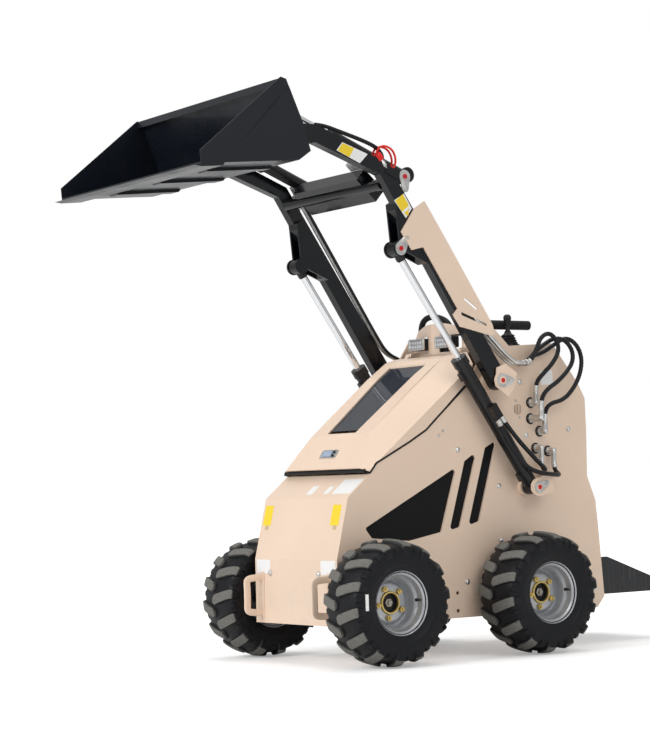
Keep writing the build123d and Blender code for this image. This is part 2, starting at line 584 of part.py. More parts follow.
def cylinder_bracket():
    cx, cz = LIFT_BASE
    half = LIFT_FOOT_WIDTH / 2 + EAR_GAP
    outline = [(cx + 36, cz + 6), (cx + 6, cz + 36), (cx - 70, cz + 52), (cx - 78, cz - 20), (cx - 10, cz - 36)]
    plate = upright(outline, LIFT_Y + half, LIFT_Y + half + 8) + crosswise(LIFT_BASE, 36, LIFT_Y + half, LIFT_Y + half + 8)
    web = [(cx - 70, cz + 52), (cx - 78, cz - 20), (cx - 68, cz - 22), (cx - 60, cz + 48)]
    plate += upright(web, HALF_WIDTH, LIFT_Y + half)
    plate += crosswise(LIFT_BASE, 36, HALF_WIDTH, LIFT_Y - half)
    return plate + crosswise(LIFT_BASE, LIFT_PIN_R, HALF_WIDTH, LIFT_Y + half + 14)


def console():
    """Folded guard in front of the operator's controls, with two lamp windows."""
    plan = [(-577, 0), (-640, 195), (-746.7, 195), (-746.7, 191), (-643, 191), (-581, 0), (-643, -191),
            (-746.7, -191), (-746.7, -195), (-640, -195)]
    guard = Pos(0, 0, 1192) * extrude(make_face(Polyline(*plan, close=True)), 140)
    arch = Plane.YZ * make_face(Polyline((-200, 1190), (-200, 1258), (-150, 1300), (-60, 1318), (60, 1318), (150, 1300),
                                         (200, 1258), (200, 1190), close=True))
    guard = guard & extrude(arch, -1000, both=True)
    for side in (1, -1):
        guard -= Pos(-600, side * 88, 1236) * Box(120, 104, 68)
    (x, z), (y_in, y_out) = HOOD_HINGE, HINGE_KNUCKLE
    hinge = crosswise(HOOD_HINGE, HINGE_PIN_R, y_in - HINGE_LUG, y_out + HINGE_LUG)
    for y, root in ((y_in - 1 - HINGE_LUG, -628), (y_out + 1, -638)):
        hinge += upright([(root, z - 3), (root, z + 22), (x, z + 10), (x, z - 10)], y, y + HINGE_LUG)
        hinge += crosswise(HOOD_HINGE, HINGE_R, y, y + HINGE_LUG)
    left, right = left_and_right(hinge)
    return guard + left + right


def bulkhead_fittings():
    """Hydraulic elbows through the left side plate, each with its nut."""
    shape = None
    for x, z, out, up in BULKHEAD:
        elbow_y = HALF_WIDTH + out
        body = crosswise((x, z), FITTING_R, HALF_WIDTH - SIDE_PLATE - 6, elbow_y) + Pos(x, elbow_y, z) * Sphere(FITTING_R)
        body += Pos(x, elbow_y, z + up * ELBOW_LENGTH / 2) * Cylinder(FITTING_R - 2, ELBOW_LENGTH)
        nut = extrude(RegularPolygon(FITTING_R + 5, 6), 6, both=True)
        body += Pos(x, HALF_WIDTH + 6 + SEAT_GAP, z) * Rot(90, 0, 0) * nut
        shape = body if shape is None else shape + body
    return shape


def hose_routes():
    """Points each hose follows, from the pipes or ports to the elbows; y of the middles is from the side plate."""
    reach = ELBOW_LENGTH + SEAT_GAP
    ends = [(x, HALF_WIDTH + out, z + up * reach) for x, z, out, up in BULKHEAD]
    before = [(x, HALF_WIDTH + out, z + up * (reach + 42)) for x, z, out, up in BULKHEAD]
    x0, z0 = PIPE_LINE[-1]
    start = x0 - SEAT_GAP
    lead = start - 22
    middles = {
        "hose_arm_1": [(-828, 75.5, 1196), (-846, 81.5, 1244), (-886, 88.5, 1262),
                       (-924, 91.5, 1228), (-930, 90.5, 1182), (-896, 85.5, 1134), (-862, 69.5, 1098)],
        "hose_arm_2": [(-838, 50.5, 1186), (-884, 53.5, 1216), (-934, 59.5, 1242),
                       (-984, 67.5, 1236), (-1014, 77.5, 1194), (-1008, 85.5, 1146), (-968, 91.5, 1104),
                       (-916, 93.5, 1064), (-868, 85.5, 1036)],
        "hose_arm_3": [(-840, 27.5, 1170), (-896, 31.5, 1184), (-950, 37.5, 1216),
                       (-1006, 47.5, 1248), (-1054, 57.5, 1220), (-1074, 65.5, 1164), (-1058, 71.5, 1100),
                       (-1018, 73.5, 1040), (-966, 67.5, 992), (-908, 51.5, 980)],
        "hose_lift_1": [(-619.6, 92.5, 929), (-634, 92.5, 909), (-690, 97.5, 842), (-740, 105.5, 790), (-790, 107.5, 744),
                        (-836, 89.5, 722), (-862, 61.5, 710)],
        "hose_lift_2": [(-600.7, 92.5, 915.9), (-615, 93, 896), (-640, 101.5, 834), (-676, 111.5, 776), (-722, 116.5, 726),
                        (-786, 117.5, 702), (-850, 115.5, 696), (-902, 97.5, 692), (-928, 63.5, 698)],
    }
    leads = [[(start, y, z0), (lead, y, z0 - 1)] for y in PIPE_Y] + [[], []]
    return {name: [*lead_in, *((x, HALF_WIDTH + out, z) for x, out, z in middle), first, end]
            for (name, middle), lead_in, first, end in zip(middles.items(), leads, before, ends)}


def hose(name, route):
    radii = []
    for before, here, after in zip(route, route[1:], route[2:]):
        a = Vector(*before) - Vector(*here)
        b = Vector(*after) - Vector(*here)
        half_turn = radians((180 - a.get_angle(b)) / 2)
        radii.append(0.45 * min(a.length, b.length) / max(sin(half_turn) / cos(half_turn), 0.02))
    print(name, "radii", [round(r, 1) for r in radii])
    path = FilletPolyline(*route, radius=radii)
    first = Vector(*route[1]) - Vector(*route[0])
    return sweep(Plane(route[0], z_dir=first) * Circle(HOSE_R), path=path)


def arm_point(distance, behind):
    """Point along the arm's lower run, measured from the pivot and from its centre line."""
    c, n = cos(radians(BOOM_ANGLE)), sin(radians(BOOM_ANGLE))
    return (PIVOT[0] + c * distance - n * behind, PIVOT[1] + n * distance + c * behind)


def boom_pipes():
    """Steel pipes that carry the oil from behind the cover to the hoses."""
    shape = None
    for y in PIPE_Y:
        points = [(*arm_point(sum(PIPE_CLAMP[:2]) / 2, ARM_DEPTH / 2 + PIPE_CLAMP[2] / 2), y)]
        points = [(x, y, z) for x, z in [points[0][:2], *PIPE_LINE]]
        path = FilletPolyline(*points, radius=18)
        direction = Vector(*points[1]) - Vector(*points[0])
        pipe = sweep(Plane(points[0], z_dir=direction) * Circle(PIPE_R), path=path)
        shape = pipe if shape is None else shape + pipe
    low, high, depth = PIPE_CLAMP
    near, far = ARM_DEPTH / 2 + SEAT_GAP, ARM_DEPTH / 2 + depth
    corners = [arm_point(low, near), arm_point(high, near), arm_point(high, far), arm_point(low, far)]
    return shape + upright(corners, PIPE_Y[2] - 12, ARM_IN + ARM_WIDTH - 2)


def arm_cover():
    outer = ARM_IN + ARM_WIDTH + SEAT_GAP
    cover = upright(COVER, outer, outer + COVER_THICKNESS)
    for cut in (COVER_SLASH, COVER_SLOT):
        cover -= upright(cut, outer - 1, outer + COVER_THICKNESS + 1, 3.0)
    return cover


def couplers():
    """Bracket on top of the cross member with three quick couplers."""
    x, z = CROSS_TOP
    bracket = upright([(x, z), (x - 36, z + 40), (x - 10, z + 64), (x + 26, z + 24)], 130, 210)
    shape = bracket
    for y in (146, 170, 194):
        shape += along((x - 6, z + 34), (x + 40, z + 75), y, 11)
        shape += along((x + 22, z + 59), (x + 40, z + 75), y, 13)
    return shape


def hood_window():
    crest = HOOD_CREST[1:4]
    line = [between(crest[1], crest[0], 330), crest[1], between(crest[1], crest[2], 84)]
    shift = HOOD_WALL + SEAT_GAP
    half = WINDOW_HIGH[1] + WINDOW_LAP
    return sheet_across([(x - shift, z - shift) for x, z in line], SCREEN, half)


def hood_latch():
    (x0, z0), (x1, z1) = HOOD_CREST[0], HOOD_CREST[1]
    normal = (z1 - z0, x0 - x1)
    size = hypot(*normal)
    out = (normal[0] / size, normal[1] / size)
    seat = between(HOOD_CREST[0], HOOD_CREST[1], 70)
    width, height, depth = LATCH_SIZE
    base = (seat[0] + out[0] * SEAT_GAP, seat[1] + out[1] * SEAT_GAP)
    up = ((x1 - x0) / hypot(x1 - x0, z1 - z0), (z1 - z0) / hypot(x1 - x0, z1 - z0))
    corners = [(base[0] + up[0] * a + out[0] * b, base[1] + up[1] * a + out[1] * b)
               for a, b in ((-height / 2, 0), (-height / 2, depth * 0.6), (0, depth), (height / 2, depth), (height / 2, 0))]
    return upright(corners, -width / 2, width / 2)


def work_lamps():
    lamps = None
    for side in (1, -1):
        lamp = Pos(-588, side * 88, 1240) * Box(46, 103.4, 48)
        lamps = lamp if lamps is None else lamps + lamp
    return lamps


def front_loops():
    loops = None
    for side in (1, -1):
        y = side * 233
        path = FilletPolyline((FRONT_X, y, 327), (FRONT_X + 70, y, 327), (FRONT_X + 70, y, 189), (FRONT_X, y, 189),
                              radius=22)
        loop = sweep(Plane((FRONT_X, y, 327), z_dir=(1, 0, 0)) * Circle(6.5), path=path)
        loops = loop if loops is None else loops + loop
    return loops


def grab_bars():
    bars = None
    for side in (1, -1):
        y = side * 165
        foot = deck_height(-785) + SEAT_GAP
        path = FilletPolyline((-765, y, foot), (-765, y, 1250), (-690, y, 1306), (-950, y, 1306), radius=20)
        bar = sweep(Plane((-765, y, foot), z_dir=(0, 0, 1)) * Circle(12), path=path)
        bar += Pos(-765, y, foot) * Cylinder(20, 6, align=(Align.CENTER, Align.CENTER, Align.MIN))
        bar += Pos(-830, y, 1306) * Rot(0, 90, 0) * Cylinder(19, 240)
        bars = bar if bars is None else bars + bar
    bars += crosswise((-722, 1306), 12, -165, 165)
    return bars


def joysticks():
    levers = None
    for y in (215, -215):
        boot = Pos(-800, y, deck_height(-834) + SEAT_GAP) * Cone(34, 18, 46, align=(Align.CENTER, Align.CENTER, Align.MIN))
        stick = Pos(-800, y, 1262) * Cylinder(7, 56, align=(Align.CENTER, Align.CENTER, Align.MIN))
        knob = Pos(-800, y, 1330) * Sphere(15)
        lever = boot + stick + knob
        levers = lever if levers is None else levers + lever
    return levers


def build():
    nodes = {}
    tyre_shape = tyre()
    rim_shape = rim()
    nodes["side_plate_left"], nodes["side_plate_right"] = left_and_right(side_plate())
    nodes["vent_screens"] = Compound(left_and_right(vent_screen()))
    nodes["front_panel"] = front_panel()
    nodes["belly_pan"] = belly_pan()
    nodes["rear_panel"] = rear_panel()
    nodes["deck_plate"] = deck_plate()
    nodes["engine_block"] = Pos(*ENGINE_CENTRE) * Box(*ENGINE_SIZE)
    nodes["hood"] = hood()
    nodes["hood_seal"] = hood_seal()
    nodes["hood_window"] = hood_window()
    nodes["hood_latch"] = hood_latch()
    nodes["bulkhead_fittings"] = bulkhead_fittings()
    for name, route in hose_routes().items():
        nodes[name] = hose(name, route)
    nodes["console"] = console()
    nodes["work_lamps"] = work_lamps()
    nodes["front_loops"] = front_loops()
    nodes["grab_bars"] = grab_bars()
    nodes["control_levers"] = joysticks()
    nodes["pivot_brackets"] = Compound(left_and_right(pivot_bracket()))
    nodes["cylinder_brackets"] = Compound(left_and_right(cylinder_bracket()))
    nodes["platform"] = platform()
    nodes["boom_arm_left"], nodes["boom_arm_right"] = left_and_right(arm())
    nodes["cross_member"] = cross_member()
    nodes["arm_covers"] = Compound(left_and_right(arm_cover()))
    nodes["boom_pipes"] = boom_pipes()
    nodes["couplers"] = couplers()
    nodes["lift_barrel_left"], nodes["lift_barrel_right"] = left_and_right(lift_barrel())
    nodes["lift_rod_left"], nodes["lift_rod_right"] = left_and_right(lift_rod())
    nodes["tilt_barrel_left"], nodes["tilt_barrel_right"] = left_and_right(tilt_barrel())
    nodes["tilt_rod_left"], nodes["tilt_rod_right"] = left_and_right(tilt_rod())
    nodes["bucket_shell"] = bucket_shell()
    nodes["cutting_edge"] = cutting_edge()
    nodes["quick_attach"] = quick_attach()
    nodes["drive_hubs"] = Compound([*left_and_right(drive_hub(0.0)), *left_and_right(drive_hub(-WHEELBASE))])
    for name, x in (("front", 0.0), ("rear", -WHEELBASE)):
        for side, sign in (("left", 0), ("right", 1)):
            for piece, made in (("tyre", tyre_shape), ("rim", rim_shape)):
                shape = Pos(x, WHEEL_Y, TYRE_R) * made
                nodes[f"{piece}_{name}_{side}"] = shape if sign == 0 else mirror(shape, Plane.XZ)
    return nodes


def main():
    nodes = build()
    os.makedirs("parts", exist_ok=True)
    boxes = [shape.bounding_box() for name, shape in nodes.items() if not name.startswith("hose")]
    middle = (min(box.min.X for box in boxes) + max(box.max.X for box in boxes)) / 2
    for name, shape in nodes.items():
        export_step(Pos(-middle, 0, 0) * shape, f"parts/{name}.step")
    print("origin is at x", round(middle, 4), "from the front axle")


main()
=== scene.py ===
import json
from math import cos, radians, sin

import bmesh
import bpy
import numpy as np
from mathutils import Matrix, Vector


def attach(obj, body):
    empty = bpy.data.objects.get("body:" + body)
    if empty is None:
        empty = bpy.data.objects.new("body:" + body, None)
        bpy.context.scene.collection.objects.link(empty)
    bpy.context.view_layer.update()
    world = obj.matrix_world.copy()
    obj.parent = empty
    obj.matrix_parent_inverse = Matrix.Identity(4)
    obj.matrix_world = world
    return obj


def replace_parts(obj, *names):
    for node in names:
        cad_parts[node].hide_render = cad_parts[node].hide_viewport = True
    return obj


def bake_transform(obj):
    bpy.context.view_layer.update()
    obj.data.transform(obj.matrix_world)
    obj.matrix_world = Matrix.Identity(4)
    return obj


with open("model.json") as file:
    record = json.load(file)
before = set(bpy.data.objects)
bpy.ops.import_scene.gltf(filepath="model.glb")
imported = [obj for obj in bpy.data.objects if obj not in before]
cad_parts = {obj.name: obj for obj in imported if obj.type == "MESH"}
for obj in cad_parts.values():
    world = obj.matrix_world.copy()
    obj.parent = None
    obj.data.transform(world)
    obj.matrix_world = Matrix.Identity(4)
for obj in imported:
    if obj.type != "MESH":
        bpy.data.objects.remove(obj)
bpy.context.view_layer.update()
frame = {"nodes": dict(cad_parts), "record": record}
nodes = frame["nodes"]
joints = {joint["name"]: joint for joint in frame["record"]["behaviour"]["joints"]}
FRONT_AXLE_X = joints["wheel_spin_front_left"]["pos_m"][0]


def at(x, y, z):
    """A point in millimetres from the front axle, the machine's middle and the ground, moved to the frame in metres."""
    return Vector((FRONT_AXLE_X + x / 1000, y / 1000, z / 1000))


# Camera
# Stands ahead of the machine's front left corner at chest height of a crouching person, with a long lens.
# Its roll is small, as in a hand-held picture.
CAMERA_AT = (4753.0, 6937.5, 691.6)
AZIMUTH, ELEVATION, ROLL = radians(34.667), radians(-2.846), radians(-1.796)
back = Vector((sin(AZIMUTH) * cos(ELEVATION), cos(AZIMUTH) * cos(ELEVATION), sin(ELEVATION)))
level = (-back).cross(Vector((0, 0, 1))).normalized()
over = level.cross(-back)
right = cos(ROLL) * level + sin(ROLL) * over
up = cos(ROLL) * over - sin(ROLL) * level
camera = bpy.data.objects.new("camera", bpy.data.cameras.new("camera"))
camera.matrix_world = Matrix((
    (right.x, up.x, back.x, at(*CAMERA_AT).x),
    (right.y, up.y, back.y, at(*CAMERA_AT).y),
    (right.z, up.z, back.z, at(*CAMERA_AT).z),
    (0, 0, 0, 1)))
camera.data.lens = 103.64
camera.data.sensor_width = 36
camera.data.clip_end = 60
camera.data.shift_x = 0.0006
bpy.context.scene.collection.objects.link(camera)
bpy.context.scene.camera = camera
bpy.context.scene.view_settings.view_transform = "Standard"


# Shader writing
# Sockets are wrapped so that maths on them reads as plain Python, and each material is one short function.
class Wire:
    """One shader socket; arithmetic on it adds Math nodes."""

    def __init__(self, finish, socket):
        self.finish, self.socket = finish, socket

    def _math(self, operation, a, b=None):
        values = {0: a} if b is None else {0: a, 1: b}
        return self.finish.node("ShaderNodeMath", {"operation": operation}, values)

    def __add__(self, other): return self._math("ADD", self, other)
    def __radd__(self, other): return self._math("ADD", other, self)
    def __sub__(self, other): return self._math("SUBTRACT", self, other)
    def __rsub__(self, other): return self._math("SUBTRACT", other, self)
    def __mul__(self, other): return self._math("MULTIPLY", self, other)
    def __rmul__(self, other): return self._math("MULTIPLY", other, self)
    def __truediv__(self, other): return self._math("DIVIDE", self, other)
    def __pow__(self, other): return self._math("POWER", self, other)
    def wave(self): return self._math("SINE", self)
    def size(self): return self._math("ABSOLUTE", self)
    def most(self, other): return self._math("MAXIMUM", self, other)

    def ramp(self, low, high):
        """0 below low, 1 above high, a smooth step between."""
        return self.finish.node("ShaderNodeMapRange", {"interpolation_type": "SMOOTHSTEP"},
                                {"Value": self, "From Min": low, "From Max": high})


class Finish:
    """A material under construction around one Principled shader."""

    def __init__(self, name, **fixed):
        self.material = bpy.data.materials.new(name)
        self.material.use_nodes = True
        self.tree = self.material.node_tree
        self.surface = self.tree.nodes["Principled BSDF"]
        for socket, value in fixed.items():
            self.surface.inputs[socket.replace("_", " ")].default_value = value

    def node(self, kind, settings=None, inputs=None, output=0):
        made = self.tree.nodes.new(kind)
        for key, value in (settings or {}).items():
            setattr(made, key, value)
        for key, value in (inputs or {}).items():
            self.put(made.inputs[key], value)
        return Wire(self, made.outputs[output])

    def put(self, socket, value):
        if isinstance(value, Wire):
            self.tree.links.new(value.socket, socket)
        else:
            socket.default_value = value

    def place(self):
        return self.node("ShaderNodeTexCoord", output=3)

    def noise(self, scale, detail=3.0, place=None, rough=0.5):
        return self.node("ShaderNodeTexNoise", {}, {"Vector": place or self.place(), "Scale": scale, "Detail": detail,
                                                    "Roughness": rough})

    def axis(self, name, place=None):
        split = self.node("ShaderNodeSeparateXYZ", {}, {0: place or self.place()})
        return Wire(self, split.socket.node.outputs[name])

    def blend(self, share, a, b):
        return self.node("ShaderNodeMix", {"data_type": "RGBA"}, {0: share, 6: (*a, 1) if isinstance(a, tuple) else a,
                                                                  7: (*b, 1) if isinstance(b, tuple) else b}, 2)

    def bump(self, height, depth, strength=1.0):
        return self.node("ShaderNodeBump", {}, {"Height": height, "Distance": depth, "Strength": strength})

    def done(self, **sockets):
        for socket, value in sockets.items():
            self.put(self.surface.inputs[socket.replace("_", " ")], value)
        return self.material


def paint(names, material):
    """The CAD nodes of these names take the material."""
    for name in names:
        nodes[name].data.materials.clear()
        nodes[name].data.materials.append(material)


# Studio
# A white sweep for the floor, one broad lamp ahead of the machine, a weaker one on its left and a white surround.
def studio_lamp(name, place, aim, width, power):
    """Rectangular lamp of width metres and power watts at place, turned towards aim."""
    lamp = bpy.data.objects.new(name, bpy.data.lights.new(name, "AREA"))
    lamp.data.shape = "RECTANGLE"
    lamp.data.size = width
    lamp.data.size_y = width * 0.7
    lamp.data.energy = power
    lamp.location = place
    lamp.rotation_euler = (Vector(aim) - Vector(place)).to_track_quat("-Z", "Y").to_euler()
    bpy.context.scene.collection.objects.link(lamp)


studio_lamp("lamp_ahead", (6.5, 0.6, 3.4), (0, 0, 0.9), 3.2, 262)
studio_lamp("lamp_left", (0.5, 6.5, 4.6), (0, 0, 1.0), 4.0, 110)
studio_lamp("lamp_above", (-0.5, -0.5, 6.0), (0, 0, 1.0), 4.0, 120)
world = bpy.data.worlds.new("surround")
bpy.context.scene.world = world
world.use_nodes = True
path = world.node_tree.nodes.new("ShaderNodeLightPath")
seen = world.node_tree.nodes.new("ShaderNodeMath")
seen.operation = "MAXIMUM"
strength = world.node_tree.nodes.new("ShaderNodeMapRange")
world.node_tree.links.new(path.outputs["Is Camera Ray"], seen.inputs[0])
world.node_tree.links.new(path.outputs["Is Transmission Ray"], seen.inputs[1])
world.node_tree.links.new(seen.outputs[0], strength.inputs["Value"])
strength.inputs["To Min"].default_value = 0.56
strength.inputs["To Max"].default_value = 1.0
background = world.node_tree.nodes["Background"]
background.inputs["Color"].default_value = (1, 1, 1, 1)
world.node_tree.links.new(strength.outputs[0], background.inputs["Strength"])
floor_mesh = bpy.data.meshes.new("floor")
floor_mesh.from_pydata([(-30, -30, 0), (30, -30, 0), (30, 30, 0), (-30, 30, 0)], [], [(0, 1, 2, 3)])
floor = bpy.data.objects.new("floor", floor_mesh)
bpy.context.scene.collection.objects.link(floor)
sweep = Finish("floor_white", Roughness=0.55)
lit = sweep.node("ShaderNodeLightPath")
floor.data.materials.append(sweep.done(Base_Color=(0.88, 0.88, 0.88, 1), Emission_Color=(1, 1, 1, 1)))
far = ((sweep.axis("X") ** 2 + sweep.axis("Y") ** 2) ** 0.5).ramp(1.6, 4.5)
seen_directly = Wire(sweep, lit.socket.node.outputs["Is Camera Ray"])
sweep.put(sweep.surface.inputs["Emission Strength"], seen_directly * (far * 0.34 + 0.3))


# Hydraulic hoses
# Two-wire rubber hoses in a black spiral guard, crimped to zinc ferrules at both ends.
# Three loop back from the boom's pipes to the elbows in the left plate; two hang from the lift cylinder's port block.
HOSE_R = 9.0
ARM_HOSE_1 = [(-772.3, 352, 1140), (-794.3, 352, 1139), (-828, 358, 1196), (-846, 364, 1244), (-886, 371, 1262),
              (-924, 374, 1228), (-930, 373, 1182), (-896, 368, 1134), (-862, 352, 1098), (-848, 318.5, 1061.3),
              (-848, 318.5, 1019.3)]
ARM_HOSE_2 = [(-772.3, 330, 1140), (-794.3, 330, 1139), (-838, 333, 1186), (-884, 336, 1216), (-934, 342, 1242),
              (-984, 350, 1236), (-1014, 360, 1194), (-1008, 368, 1146), (-968, 374, 1104), (-916, 376, 1064),
              (-868, 368, 1036), (-845, 352.5, 997.3), (-845, 352.5, 955.3)]
ARM_HOSE_3 = [(-772.3, 308, 1140), (-794.3, 308, 1139), (-840, 310, 1170), (-896, 314, 1184), (-950, 320, 1216),
              (-1006, 330, 1248), (-1054, 340, 1220), (-1074, 348, 1164), (-1058, 354, 1100), (-1018, 356, 1040),
              (-966, 350, 992), (-908, 334, 980), (-890, 318.5, 946.3), (-890, 318.5, 904.3)]
LIFT_HOSE_1 = [(-619.6, 375, 929), (-634, 375, 909), (-690, 380, 842), (-740, 388, 790), (-790, 390, 744),
               (-836, 372, 722), (-862, 344, 710), (-866, 318.5, 725.7), (-866, 318.5, 767.7)]
LIFT_HOSE_2 = [(-600.7, 375, 915.9), (-615, 375.5, 896), (-640, 384, 834), (-676, 394, 776), (-722, 399, 726),
               (-786, 400, 702), (-850, 398, 696), (-902, 380, 692), (-928, 346, 698), (-930, 318.5, 713.7),
               (-930, 318.5, 755.7)]


def metres(points):
    """Whole array of millimetre points from the front axle, moved to the row frame in metres."""
    return np.asarray(points, float) / 1000 + (FRONT_AXLE_X, 0, 0)


def quads(rows, columns, start):
    """Four-sided faces between neighbouring rows of a grid of points, the columns closing into a ring."""
    r, c = np.meshgrid(np.arange(rows - 1), np.arange(columns), indexing="ij")
    after = (c + 1) % columns
    return start + np.stack([r * columns + c, r * columns + after, (r + 1) * columns + after, (r + 1) * columns + c],
                            -1).reshape(-1, 4)


def piece(name, shells, material, body=None, smooth=35, worn=None):
    """One mesh from grids of points (rows, ring, 3): doubles merge, faces turn outwards,
    and edges sharper than smooth degrees stay hard."""
    points = np.concatenate([shell.reshape(-1, 3) for shell in shells])
    starts = np.cumsum([0] + [len(shell) * shell.shape[1] for shell in shells])
    faces = np.concatenate([quads(*shell.shape[:2], start) for shell, start in zip(shells, starts)])
    mesh = bpy.data.meshes.new(name)
    mesh.vertices.add(len(points))
    mesh.vertices.foreach_set("co", points.ravel())
    mesh.loops.add(faces.size)
    mesh.loops.foreach_set("vertex_index", faces.ravel())
    mesh.polygons.add(len(faces))
    mesh.polygons.foreach_set("loop_start", np.arange(len(faces)) * 4)
    mesh.update(calc_edges=True)
    if worn is not None:
        mesh.attributes.new("worn", "FLOAT", "POINT").data.foreach_set("value", worn.ravel())
    work = bmesh.new()
    work.from_mesh(mesh)
    bmesh.ops.remove_doubles(work, verts=work.verts, dist=1e-6)
    bmesh.ops.recalc_face_normals(work, faces=work.faces)
    work.to_mesh(mesh)
    work.free()
    mesh.shade_smooth()
    mesh.set_sharp_from_angle(angle=radians(smooth))
    made = bpy.data.objects.new(name, mesh)
    bpy.context.scene.collection.objects.link(made)
    mesh.materials.append(material)
    if body:
        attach(made, body)
    return made


def smooth_line(name, route):
    """Points read from the NURBS curve that has the route's points as its control points, in metres."""
    curve = bpy.data.curves.new(name, "CURVE")
    curve.dimensions = "3D"
    spline = curve.splines.new("NURBS")
    spline.points.add(len(route) - 1)
    spline.points.foreach_set("co", np.column_stack([metres(route), np.ones(len(route))]).ravel())
    spline.order_u = 3
    spline.use_endpoint_u = True
    spline.resolution_u = 24
    holder = bpy.data.objects.new(name, curve)
    read = bpy.data.meshes.new_from_object(holder)
    line = np.empty(len(read.vertices) * 3)
    read.vertices.foreach_get("co", line)
    bpy.data.objects.remove(holder)
    bpy.data.curves.remove(curve)
    bpy.data.meshes.remove(read)
    return line.reshape(-1, 3)


def evenly(line, step):
    """The same line with its points about step metres apart."""
    run = np.r_[0, np.cumsum(np.linalg.norm(np.diff(line, axis=0), axis=1))]
    at_run = np.linspace(0, run[-1], max(int(run[-1] / step), 2) + 1)
    return np.column_stack([np.interp(at_run, run, line[:, i]) for i in range(3)]), at_run


def frames(line, side=(0, 1, 0)):
    """Two arrays square to the line: one leans towards side, the other square to both."""
    ahead = np.gradient(line, axis=0)
    ahead /= np.linalg.norm(ahead, axis=1)[:, None]
    across = np.cross(ahead, side)
    across /= np.linalg.norm(across, axis=1)[:, None]
    return np.cross(across, ahead), across


def tube(line, radius, count=20, side=(0, 1, 0)):
    """Rings of radius, one number or one per ring and column, square to the line and closed by a point at each end."""
    lean, across = frames(line, side)
    turn = np.linspace(0, 2 * np.pi, count, endpoint=False)
    radius = np.broadcast_to(radius, (len(line), count))[..., None]
    rings = line[:, None] + radius * (np.cos(turn)[:, None] * lean[:, None] + np.sin(turn)[:, None] * across[:, None])
    ends = [np.broadcast_to(line[i], (1, count, 3)) for i in (0, -1)]
    return np.concatenate([ends[0], rings, ends[1]])


def guarded(line, run, radius, pitch=0.013):
    """Tube whose radius dips in a narrow groove that winds once round in each pitch: the guard's lapped edge."""
    turn = np.linspace(0, 1, 20, endpoint=False)
    phase = (run[:, None] / pitch + turn) % 1
    return tube(line, radius - 0.0011 * np.exp(-((phase - 0.5) / 0.11) ** 2))


def soft_black(name, colour, rough, grain=420, dust=0.3):
    """Rubber, foam or plastic: broad noise lightens and dulls it by dust, fine noise grains it."""
    f = Finish(name, Specular_IOR_Level=0.28)
    wear = f.noise(14, 5).ramp(0.5, 0.8)
    return f.done(Base_Color=f.blend(wear * dust, colour, tuple(c * 2.6 for c in colour)), Roughness=rough + wear * 0.1,
                  Normal=f.bump(f.noise(grain, 3), 0.0004, 0.5))


def zinc(name, colour):
    """Plated metal whose cloudy noise shifts both its tone and its roughness."""
    f = Finish(name, Metallic=1.0)
    cloud = f.noise(40, 5)
    pale = f.blend(cloud.ramp(0.35, 0.7), tuple(c * 0.78 for c in colour), colour)
    return f.done(Base_Color=pale, Roughness=0.24 + cloud * 0.22, Normal=f.bump(f.noise(260, 3), 0.0002, 0.3))


hose_guard = soft_black("hose_guard", (0.006, 0.0065, 0.009), 0.34, 900)
plated = zinc("zinc_plate", (0.72, 0.72, 0.70))


def ferrule(line, radius=0.0112):
    """Crimped shell on a hose end: the radius steps through three pressed bands and narrows to the hose."""
    share = np.linspace(0, 1, len(line))
    bands = 0.0007 * np.cos(share * 2 * np.pi * 3.5) * (share < 0.8)
    return tube(line, (radius + bands - 0.0012 * (share > 0.93))[:, None])


def lay_hose(name, route, mover):
    """Guarded hose along the route, not attached to any body; the ferrule at its first point rides on mover, the one at
    its last on the chassis.
    """
    line, run = evenly(smooth_line(name, route), 0.0026)
    laid = piece(name + "_guarded", [guarded(line, run, HOSE_R / 1000)], hose_guard)
    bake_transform(laid)
    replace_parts(laid, name)
    piece(name + "_ferrule_lower", [ferrule(line[run > run[-1] - 0.036][::-1])], plated, "chassis")
    piece(name + "_ferrule_upper", [ferrule(line[run < 0.030])], plated, mover)
    print(name, "length", round(float(run[-1]), 3))


lay_hose("hose_arm_1", ARM_HOSE_1, "boom")
lay_hose("hose_arm_2", ARM_HOSE_2, "boom")
lay_hose("hose_arm_3", ARM_HOSE_3, "boom")
lay_hose("hose_lift_1", LIFT_HOSE_1, "lift_barrel_left_body")
lay_hose("hose_lift_2", LIFT_HOSE_2, "lift_barrel_left_body")
TOP_HOSE = [(205, 350, 2026), (172, 350, 2027), (92, 350, 2007), (0, 350, 1984), (-70, 348, 1962), (-100, 340, 1944),
            (-118, 330, 1926), (-124, 318, 1908)]
top_line, top_run = evenly(smooth_line("top_hose", TOP_HOSE), 0.0026)
top_hose = piece("top_hose", [guarded(top_line, top_run, 0.008)], hose_guard, "boom")
print("top_hose length", round(float(top_run[-1]), 3))


# Tyres
# Wide skid steer tyres with a chevron of thick bars, half a pitch apart left and right, and a smooth black flank.
# Moulded in one piece; the bars' faces are greyed by the ground, the grooves stay dark.
TYRE_R, BARS, BAR_HEIGHT = 225.0, 14, 13.0
TREAD_R = 231.0
BAR_LEAN, BAR_HALF_WIDTH = 0.30, 20.4
FLANK = [(86, 117), (92, 121), (96, 131), (101, 146), (103.6, 160), (104, 170), (103, 184), (100, 198), (94.5, 207),
         (87.4, 212), (70, 217.3), (52, 220.4), (26, 223.6), (0, TYRE_R)]


